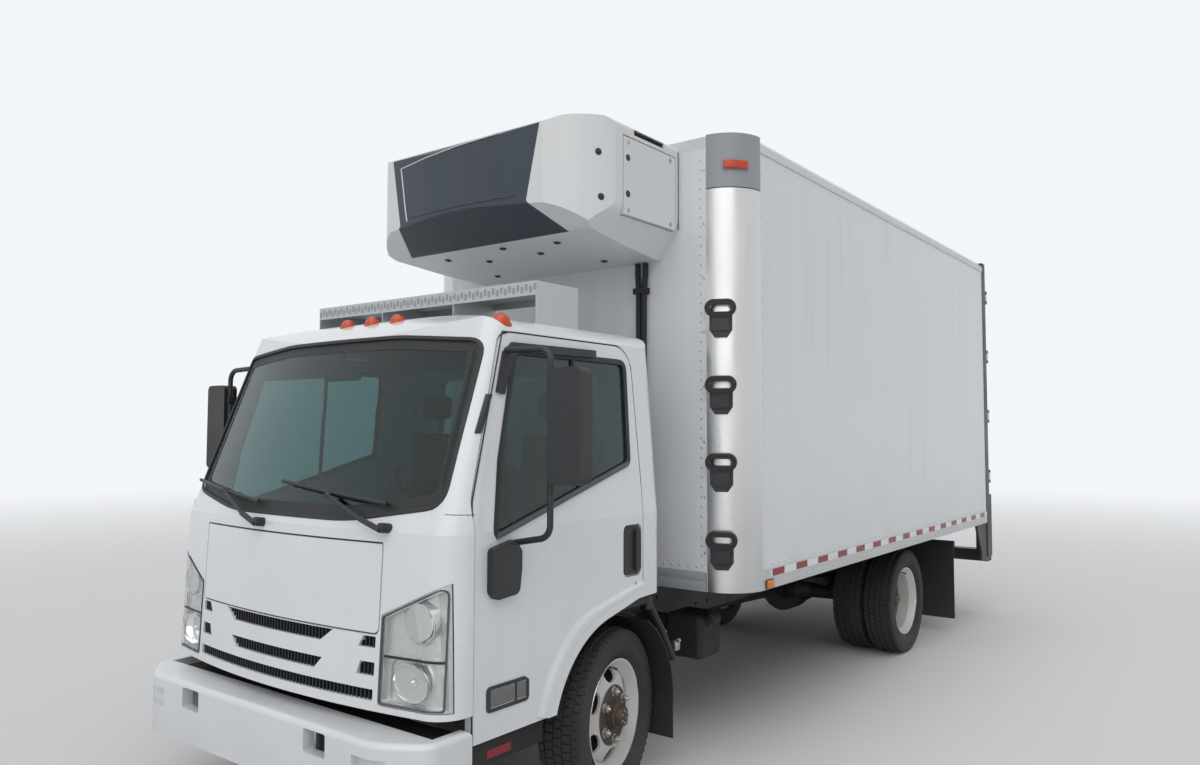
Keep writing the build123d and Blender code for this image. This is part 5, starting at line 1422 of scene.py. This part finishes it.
# %% Door gap, sill and pillar vent
DOOR_LINE = [(0.3415, 0.560), (0.3415, 1.480), (0.566, 2.1715), (1.4755, 2.1715), (1.4955, 1.500),
             (1.4955, 1.03)]
for name, side in SIDES:
    gap_line = [on_flank(side)(d, z, -0.0042) for d, z in DOOR_LINE]
    hand_over(tube(gap_line, 0.0033), f"door_gap_{name}", seal_rubber, "cab")
    sill = joined([bar(side * 0.780, side * 0.950, 0.352, 0.800, 0.435, 0.538, edge=0.020, segments=4),
                   bar(side * 0.740, side * 0.940, 0.370, 0.790, 0.520, 0.600, edge=0.006)])
    hand_over(sill, f"sill_{name}", under_plastic, "cab")
    reflector = bar(side * 0.9495, side * 0.953, 0.450, 0.590, 0.462, 0.496, edge=0.001, segments=1)
    hand_over(reflector, f"sill_reflector_{name}", tape_red, "cab")
    slot_line = [(side * x, z) for x, z in ((0.917, 1.745), (0.932, 1.745), (0.925, 1.905), (0.911, 1.905))]
    slot = outlined(slot_line if side > 0 else slot_line[::-1], on_face, thick=0.010, lift=0.003)
    soften(slot)
    hand_over(slot, f"pillar_vent_{name}", black_plastic, "cab")
    seam = tube([on_face(side * x, 1.432 - (x - 0.905) * 0.05, 0.0)
                 for x in (0.905, 0.93, 0.95, 0.965, 0.973)], 0.0016)
    hand_over(seam, f"pillar_seam_{name}", seal_rubber, "cab")
print("sills and pillar vents on both sides")

# %% [markdown]
# The seats are foam pads under cloth. Each pad starts smaller than its final size, is remeshed to
# an even skin, and is blown up by a cloth simulation with pressure, which crowns it and draws its
# sides in between the corners. Afterwards the sewn channels are pressed in and piping is laid
# along the seams.

# %% Padded seats
def pad(x0, x1, d0, d1, z0, z1, lean=0.0, channels=(), along="d", rise=0.016):
    """Cushion blown up from a smaller block; lean tips it back about its lower edge."""
    shrink = 0.012
    piece = bar(x0 + shrink, x1 - shrink, d0 + shrink, d1 - shrink, z0 + shrink / 2, z1 - shrink,
                edge=0.030, segments=3)
    modify(piece, "REMESH", mode="VOXEL", voxel_size=0.021)
    starts = [vertex.co.copy() for vertex in piece.data.vertices]
    fresh(piece)
    cloth = piece.modifiers.new("cloth", "CLOTH")
    cloth.settings.use_pressure = True
    cloth.settings.uniform_pressure_force = 4
    cloth.settings.effector_weights.gravity = 0
    for frame_number in range(1, 13):
        bpy.context.scene.frame_set(frame_number)
    bpy.ops.object.modifier_apply(modifier=cloth.name)
    bpy.context.scene.frame_set(1)
    for vertex, start in zip(piece.data.vertices, starts):
        move = vertex.co - start
        if move.length > rise:
            vertex.co = start + move.normalized() * rise
    modify(piece, "SUBSURF", levels=1)
    for vertex in piece.data.vertices:
        at = vertex.co
        top = at.z > (z0 + z1) / 2 if along == "d" else at.y < back((d0 + d1) / 2)
        for middle in channels:
            pull = 0.011 * math.exp(-((at.x - middle) / 0.010) ** 2)
            if top and along == "d":
                at.z -= pull
            elif top:
                at.y += pull
        at.z = max(at.z, z0)
    pivot = Vector(((x0 + x1) / 2, back(d0), z0))
    tip = Matrix.Rotation(math.radians(-lean), 4, "X")
    piece.data.transform(Matrix.Translation(pivot) @ tip @ Matrix.Translation(-pivot))
    return piece


for number, (x0, x1) in enumerate(((0.115, 0.635), (-0.775, 0.055))):
    wide = x1 - x0
    lines = [x0 + wide * share for share in (0.24, 0.41, 0.59, 0.76)]
    cushion = pad(x0, x1, 1.000, 1.435, 1.140, 1.268, channels=lines)
    rest = pad(x0 + 0.01, x1 - 0.01, 1.450, 1.545, 1.215, 1.775, lean=5, channels=lines, along="z")
    heads = [(x0 + x1) / 2] if number == 0 else [x0 + wide * 0.27, x0 + wide * 0.73]
    for label, piece in (("cushion", cushion), ("rest", rest)):
        hand_over(piece, f"seat_{label}_{number}", seat_fabric, "cab", smooth=80)
    for place, middle in enumerate(heads):
        head = pad(middle - 0.13, middle + 0.13, 1.497, 1.580, 1.815, 1.985, lean=5)
        hand_over(head, f"head_rest_{number}_{place}", seat_fabric, "cab", smooth=80)
        posts = [tube([(x, back(1.535), 1.74), (x, back(1.548), 1.84)], 0.006)
                 for x in (middle - 0.06, middle + 0.06)]
        hand_over(joined(posts), f"head_posts_{number}_{place}", bolt_metal, "cab")
    edge = rounded(rectangle(x0 + 0.012, x1 - 0.012, 1.010, 1.425), 0.04)
    piping = tube([(p.x, back(p.y), 1.252) for p in edge], 0.0045, closed=True)
    hand_over(piping, f"seat_piping_{number}", seat_fabric, "cab")
    base = joined([bar(x0 + 0.03, x1 - 0.03, 1.03, 1.42, 1.128, 1.150, edge=0.006),
                   bar(x0 + 0.05, x1 - 0.05, 1.475, 1.500, 1.16, 1.25, edge=0.006)])
    hand_over(base, f"seat_base_{number}", black_plastic, "cab")
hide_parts("seats")

# %% [markdown]
# The dashboard is a plain plastic moulding with a hood over the dials, air vents, a panel with
# three knobs, and a flap. The hood is a grid that is raised like a tunnel and given a thickness.
# The dials are plain bright discs, and the vents are rows of thin bars.

# %% Dashboard
def hood_point(a, b):
    """Place on the hood from shares across and along it."""
    return Vector((0.18 + 0.40 * a, back(0.40 + 0.135 * b),
                   1.375 + 0.075 * math.sin(math.pi * a) ** 0.5 * (0.35 + 0.65 * b)))


hood = grid_on(16, 10, hood_point)
modify(hood, "SOLIDIFY", thickness=0.010, offset=0)
hand_over(hood, "dial_hood", dash_plastic, "cab", smooth=60)
dials = [barrel((x, back(0.548), 1.345), (x, back(0.556), 1.345), size, sides=32, edge=0.002)
         for x, size in ((0.30, 0.046), (0.46, 0.046), (0.38, 0.024))]
hand_over(joined(dials), "dial_rings", bright_metal, "cab")
vents = []
for x0, x1 in ((-0.86, -0.72), (-0.12, 0.0), (0.02, 0.14), (0.74, 0.86)):
    vents += [bar(x0, x1, 0.548, 0.562, z, z + 0.005, edge=0.001, segments=1)
              for z in (1.270, 1.286, 1.302, 1.318)]
    vents.append(bar(x0 - 0.008, x0, 0.545, 0.564, 1.262, 1.330, edge=0.002))
    vents.append(bar(x1, x1 + 0.008, 0.545, 0.564, 1.262, 1.330, edge=0.002))
vents.append(bar(-0.11, 0.13, 0.545, 0.562, 1.175, 1.235, edge=0.004))
for x in (-0.07, 0.01, 0.09):
    vents.append(barrel((x, back(0.560), 1.205), (x, back(0.578), 1.205), 0.016, sides=20, edge=0.003))
vents.append(bar(-0.66, -0.24, 0.548, 0.560, 1.165, 1.245, edge=0.006))
hand_over(joined(vents), "dash_vents", black_plastic, "cab")
print("dashboard parts:", len(vents) + len(dials))

# %% [markdown]
# Stalks stand out behind the steering wheel, which has a horn pad and a thicker grip. The driver's
# floor carries two pedals and a gear lever with its boot. The wheel's pieces are made flat at the
# origin and tilted by the column's matrix, and they turn with the wheel.

# %% Steering wheel, pedals and gear lever
DRIVER_X, GRIP_R = 0.38, 0.215
stalks = [tube([(DRIVER_X, back(0.60), 1.335), (DRIVER_X + side * 0.10, back(0.615), 1.352),
                (DRIVER_X + side * 0.20, back(0.63), 1.372)], 0.008) for side in (1, -1)]
stalks.append(barrel((DRIVER_X, back(0.565), 1.285), (DRIVER_X, back(0.640), 1.380), 0.052, sides=24,
                     edge=0.010))
hand_over(joined(stalks), "column_shroud", black_plastic, "cab")
tilt = Matrix.Translation((DRIVER_X, back(0.705), 1.46)) @ Matrix.Rotation(math.radians(-37), 4, "X")
horn = dome((0, 0, 0), 0.075, 0.030, sides=28, rings=12)
horn.data.transform(tilt @ Matrix.Translation((0, 0, 0.008)))
grip = [Vector((GRIP_R * math.cos(math.radians(a)), GRIP_R * math.sin(math.radians(a)), 0))
        for a in range(0, 360, 10)]
cover = tube([tilt @ point for point in grip], 0.0155, closed=True, sides=3)
hand_over(joined([horn, cover]), "wheel_cover_and_horn", dash_plastic, "steering_wheel",
          smooth=60)
pedals = []
for x, wide in ((0.50, 0.055), (0.36, 0.075)):
    pedals.append(bar(x - wide / 2, x + wide / 2, 0.462, 0.474, 0.985, 1.060, edge=0.004))
    pedals.append(tube([(x, back(0.465), 1.04), (x, back(0.44), 1.15)], 0.007))
hand_over(joined(pedals), "pedals", black_plastic, "cab")
lever = joined([barrel((0.04, back(0.98), 1.130), (0.04, back(0.98), 1.150), 0.060, sides=28, edge=0.006),
                tube([(0.04, back(0.98), 1.145), (0.04, back(0.965), 1.30), (0.05, back(0.95), 1.36)],
                     0.008)])
knob = dome((0.05, back(0.950), 1.350), 0.026, 0.045, sides=20, rings=10)
hand_over(joined([lever, knob]), "gear_lever", black_plastic, "cab")
print("pedals:", len(pedals) // 2)

# %% [markdown]
# Two sun visors and a mirror hang behind the top of the windscreen. Their distance from it comes
# from the skin's own function, so that they can't cut through the glass.

# %% Sun visors and inside mirror
visor_depth, mirror_depth = face_depth(0.5, 2.10), face_depth(0, 2.02)
for number, (x0, x1) in enumerate(((-0.74, -0.10), (0.10, 0.74))):
    visor = bar(x0, x1, visor_depth + 0.075, visor_depth + 0.100, 2.01, 2.15, edge=0.010, segments=3)
    hand_over(visor, f"sun_visor_{number}", seat_fabric, "cab")
case = bar(-0.12, 0.12, mirror_depth + 0.070, mirror_depth + 0.095, 1.985, 2.050, edge=0.010, segments=3)
stem = tube([(0, back(face_depth(0, 2.10) + 0.06), 2.13), (0, back(mirror_depth + 0.080), 2.04)], 0.007)
hand_over(joined([case, stem]), "inside_mirror", black_plastic, "cab")
print("visors and mirror hang", round(visor_depth, 3), "m and more behind the bumper")

# %% [markdown]
# The frame's cross members are held by bolts through its webs. A plain near-black drum fills each
# wheel: it stands for the brake drum, and its black is also painted shade, which darkens the hand
# holes. The drum is spun from its section, and the same one serves at the rear, set further in.

# %% Frame bolts and wheel drums
FRAME_X = 0.425
FRAME_BOLTS = (1.72, 1.86, 2.32, 2.46, 2.91, 3.05, 3.46, 3.60, 4.00, 4.14, 4.53, 4.67, 5.60, 5.78, 6.30,
               6.44, 6.70)
# Each wheel's drum is near-black: it stands for the brake drum and is painted shade behind the hand holes.
for name, side in SIDES:
    bolts = [dome((side * FRAME_X, back(d), z), 0.013, 0.010, sides=10, rings=6, axis=OUTWARD[side])
             for d in FRAME_BOLTS for z in (0.640, 0.745)]
    hand_over(joined(bolts), f"frame_bolts_{name}", chassis_black, "chassis")
    drum = section_ring([(-0.075, 0.060), (-0.075, 0.206), (-0.060, 0.210), (0.000, 0.210), (0.010, 0.200),
                         (0.012, 0.066)], steps=64)
    front_shade_drum = copied(drum, wheel_place("front", side, FRONT_OUT))
    hand_over(front_shade_drum, f"front_drum_{name}", under_plastic, f"front_wheel_{name}")
    drum.data.transform(Matrix.Translation((-0.150, 0, 0)))
    rear_shade_drum = copied(drum, wheel_place("rear", side, REAR_OUT))
    hand_over(rear_shade_drum, f"rear_drum_{name}", under_plastic, f"rear_wheels_{name}")
    bpy.data.objects.remove(drum)
print("frame bolts:", 2 * len(bolts), "drums: 4")

# %% [markdown]
# Behind the cab stand its latch and the slanting bracket that carries the front guard. The fuel
# tank hangs in straps, the silencer has clamps, an inlet and a tail pipe, the battery box has a lid
# with two buckles, and a filler cap looks out behind the wheel.

# %% Brackets, straps and pipes
bracket = joined([tube([(0.88, back(1.675), 0.900), (0.89, back(1.80), 0.72), (0.89, back(1.90), 0.56)],
                       0.020),
                  bar(0.860, 0.905, 1.640, 1.700, 0.850, 0.915, edge=0.006),
                  bar(0.420, 0.880, 1.860, 1.890, 0.600, 0.630, edge=0.005)])
hand_over(bracket, "guard_bracket", chassis_black, "chassis")
latch = joined([bar(0.880, 0.912, 1.895, 1.945, 0.600, 0.650, edge=0.005),
                barrel((0.895, back(1.92), 0.64), (0.925, back(1.92), 0.66), 0.010)])
hand_over(latch, "cab_latch", bolt_metal, "chassis")
straps = []
for d in (5.98, 6.30, 6.54):
    for x0, x1, z0, z1 in ((-0.339, 0.339, 0.356, 0.361), (-0.340, -0.335, 0.358, 0.620),
                           (0.335, 0.340, 0.358, 0.620)):
        straps.append(bar(x0, x1, d, d + 0.045, z0, z1, edge=0.001, segments=1))
CLAMP_LINE = ((-0.965, 0.52), (-0.965, 0.61), (-0.87, 0.705), (-0.65, 0.705), (-0.555, 0.61),
              (-0.555, 0.52), (-0.65, 0.425), (-0.87, 0.425))
for d in (3.32, 3.74):
    straps.append(tube([(x, back(d), z) for x, z in CLAMP_LINE], 0.011, closed=True))
hand_over(joined(straps), "tank_straps", bolt_metal, "chassis")
pipe = tube([(-0.76, back(3.90), 0.56), (-0.76, back(4.05), 0.56), (-0.76, back(4.15), 0.50),
             (-0.80, back(4.22), 0.44)], 0.038, sides=4)
inlet = tube([(-0.70, back(3.20), 0.60), (-0.66, back(3.05), 0.64), (-0.45, back(2.60), 0.62),
              (-0.30, back(2.20), 0.62)], 0.032, sides=4)
hand_over(joined([pipe, inlet]), "exhaust_pipes", exhaust_metal, "chassis")
cap = barrel((0.885, back(2.320), 0.703), (0.912, back(2.320), 0.727), 0.040, sides=28, edge=0.005)
hand_over(cap, "fluid_cap", black_plastic, "chassis")
lid = joined([bar(-0.965, -0.515, 2.495, 3.065, 0.780, 0.800, edge=0.008),
              bar(-0.966, -0.958, 2.70, 2.73, 0.60, 0.80, edge=0.002),
              bar(-0.966, -0.958, 2.84, 2.87, 0.60, 0.80, edge=0.002)])
hand_over(lid, "battery_lid", black_plastic, "chassis")
print("chassis fittings done")

# %% [markdown]
# The wheels are pressed steel. A rim with a drop centre is welded to a dished disc, and big oval
# hand holes let air reach the brakes. Rim and disc are spun from their sections. The holes are one
# oval bar, repeated round the axle by a spin, and cut out of the disc by a Boolean. The hub that
# comes through the middle is bare and greasy.

# %% Pressed wheels with big hand holes
FLANGE_R, DISC_WALL = 0.261, 0.012
HOLE_R, HOLE_LONG, HOLE_WIDE = 0.184, 0.052, 0.033


def rim_section():
    """Section of the rim from flange to flange, closed."""
    half, flange, bead = RIM_HALF, FLANGE_R, BEAD_R
    inner = [(-half, flange), (-half, flange - 0.009), (-half + 0.020, bead - 0.011),
             (-half + 0.045, bead - 0.029)]
    outer = [(-half + 0.045, bead - 0.020), (-half + 0.020, bead - 0.001), (-half + 0.014, bead),
             (-half + 0.008, flange)]
    return inner + [(-x, r) for x, r in inner[::-1]] + [(-x, r) for x, r in outer[::-1]] + outer


def pressed_wheel(face, dish):
    """Rim and disc with hand holes, its bolting face at a place along the axle."""
    knee, edge, root, wall = face - dish * 0.2, face - dish, 0.221, DISC_WALL
    disc = section_ring([(face - wall, 0.060), (face, 0.060), (face, 0.146), (face - dish * 0.06, 0.155),
                         (knee, 0.170), (face - dish * 0.6, 0.190), (edge, 0.206), (edge - 0.014, root),
                         (edge - 0.028, root), (edge - wall, 0.198), (knee - wall, 0.166),
                         (face - wall, 0.142)])
    cutter = barrel((face - 0.15, 0, 0), (face + 0.15, 0, 0), 1.0, sides=28, edge=0.0005)
    oval = Matrix.Diagonal((1, HOLE_LONG, HOLE_WIDE, 1))
    cutter.data.transform(Matrix.Translation((0, 0, HOLE_R)) @ oval)
    cutter = ring_of(cutter, 6)
    modify(disc, "BOOLEAN", operation="DIFFERENCE", solver="EXACT", object=cutter)
    bpy.data.objects.remove(cutter)
    return joined([section_ring(rim_section()), disc])


front_wheel = pressed_wheel(FRONT_FACE, 0.026)
rear_wheel = pressed_wheel(REAR_FACE, -0.045)
front_hub = section_ring([(-0.010, 0.034), (-0.010, 0.120), (0.062, 0.120), (0.062, 0.060), (0.100, 0.059),
                          (0.104, 0.054), (0.108, 0.048), (0.132, 0.0465), (0.137, 0.044), (0.140, 0.038),
                          (0.140, 0.001), (0.035, 0.001)], steps=64)
rear_hub = section_ring([(-0.247, 0.034), (-0.247, 0.110), (-0.139, 0.110), (-0.139, 0.060),
                         (-0.064, 0.059), (-0.056, 0.050), (-0.048, 0.048), (0.023, 0.0465), (0.028, 0.044),
                         (0.031, 0.038), (0.031, 0.001), (-0.20, 0.001)], steps=64)
for name, side in SIDES:
    place = wheel_place("front", side, FRONT_OUT)
    wheel = hand_over(copied(front_wheel, place), f"front_disc_{name}", wheel_paint, f"front_wheel_{name}")
    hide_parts(f"front_wheel_{name}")
    hand_over(copied(front_hub, place), f"front_hub_{name}", hub_grease, f"front_wheel_{name}")
    place = wheel_place("rear", side, REAR_OUT)
    inside = wheel_place("rear", side, REAR_IN) @ Matrix.Rotation(math.pi, 4, "Z")
    pair = joined([copied(rear_wheel, place), copied(rear_wheel, inside)])
    hand_over(pair, f"rear_discs_{name}", wheel_paint, f"rear_wheels_{name}")
    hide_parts(f"rear_wheels_{name}")
    hand_over(copied(rear_hub, place), f"rear_hub_{name}", hub_grease, f"rear_wheels_{name}")
for piece in (front_wheel, rear_wheel, front_hub, rear_hub):
    bpy.data.objects.remove(piece)
print("pressed wheels: 4 sets")

# %% [markdown]
# The box stands on steel cross members with two long sills. Its floor is extruded aluminium with
# raised ribs that let cold air run under the load. A fan unit hangs inside at the front, with
# three guarded fans. Cross members are three bars each, and the rows are arrays.

# %% Box floor with ribs, and the fans
DECK_X, DECK_TOP, FLOOR_LOW = 1.1392, 1.140, 0.995
FAN_XS, FAN_Z = (-0.40, 0.0, 0.40), 3.10
GUARD_R, WIRE_R = 0.150, 0.0022


def cross_member(d, half):
    """Steel channel across the box."""
    return joined([bar(-half, half, d, d + 0.006, RAIL_LOW, FLOOR_LOW, edge=0.001, segments=1),
                   bar(-half, half, d, d + 0.045, RAIL_LOW, RAIL_LOW + 0.006, edge=0.001, segments=1),
                   bar(-half, half, d, d + 0.045, FLOOR_LOW - 0.006, FLOOR_LOW, edge=0.001, segments=1)])


members = [cross_member(2.170, 0.985), row(cross_member(2.563, 1.204), 12, (0, 0.393, 0))]
for side in (1, -1):
    members.append(bar(side * 0.340, side * 0.425, 2.140, 6.926, 0.800, 0.895, edge=0.003))
members.append(bar(-DECK_X, DECK_X, 2.180, 6.946, FLOOR_LOW, DECK_TOP - 0.014, edge=0.002))
under = hand_over(joined(members), "box_underframe", underfloor, "chassis")
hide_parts("box_floor")
rib = bar(-1.125, -1.095, 2.185, 6.940, DECK_TOP - 0.015, DECK_TOP, edge=0.002)
hand_over(row(rib, 46, (0.0493, 0, 0)), "floor_ribs", tread_metal, "chassis")
fans = []
for x in FAN_XS:
    for radius in (GUARD_R, 0.120, 0.090, 0.060, 0.030):
        thick = 0.008 if radius == GUARD_R else WIRE_R
        fans.append(hoop((x, back(2.508), FAN_Z), radius, thick, steps=36))
    middle = Vector((x, back(2.509), FAN_Z))
    for turn in range(4):
        reach = Vector((math.cos(turn * math.pi / 4), 0, math.sin(turn * math.pi / 4))) * GUARD_R
        fans.append(tube([middle - reach, middle + reach], WIRE_R))
hand_over(joined(fans), "fan_guards", black_plastic, "chassis")
# The black discs behind the guards are painted shade in the fans' wells.
wells = joined([barrel((x, back(2.4995), FAN_Z), (x, back(2.5015), FAN_Z), 0.142, sides=40, edge=0.0005)
                for x in FAN_XS])
hand_over(wells, "fan_well_shade", seal_rubber, "chassis")
print("floor ribs: 46, fans: 3")
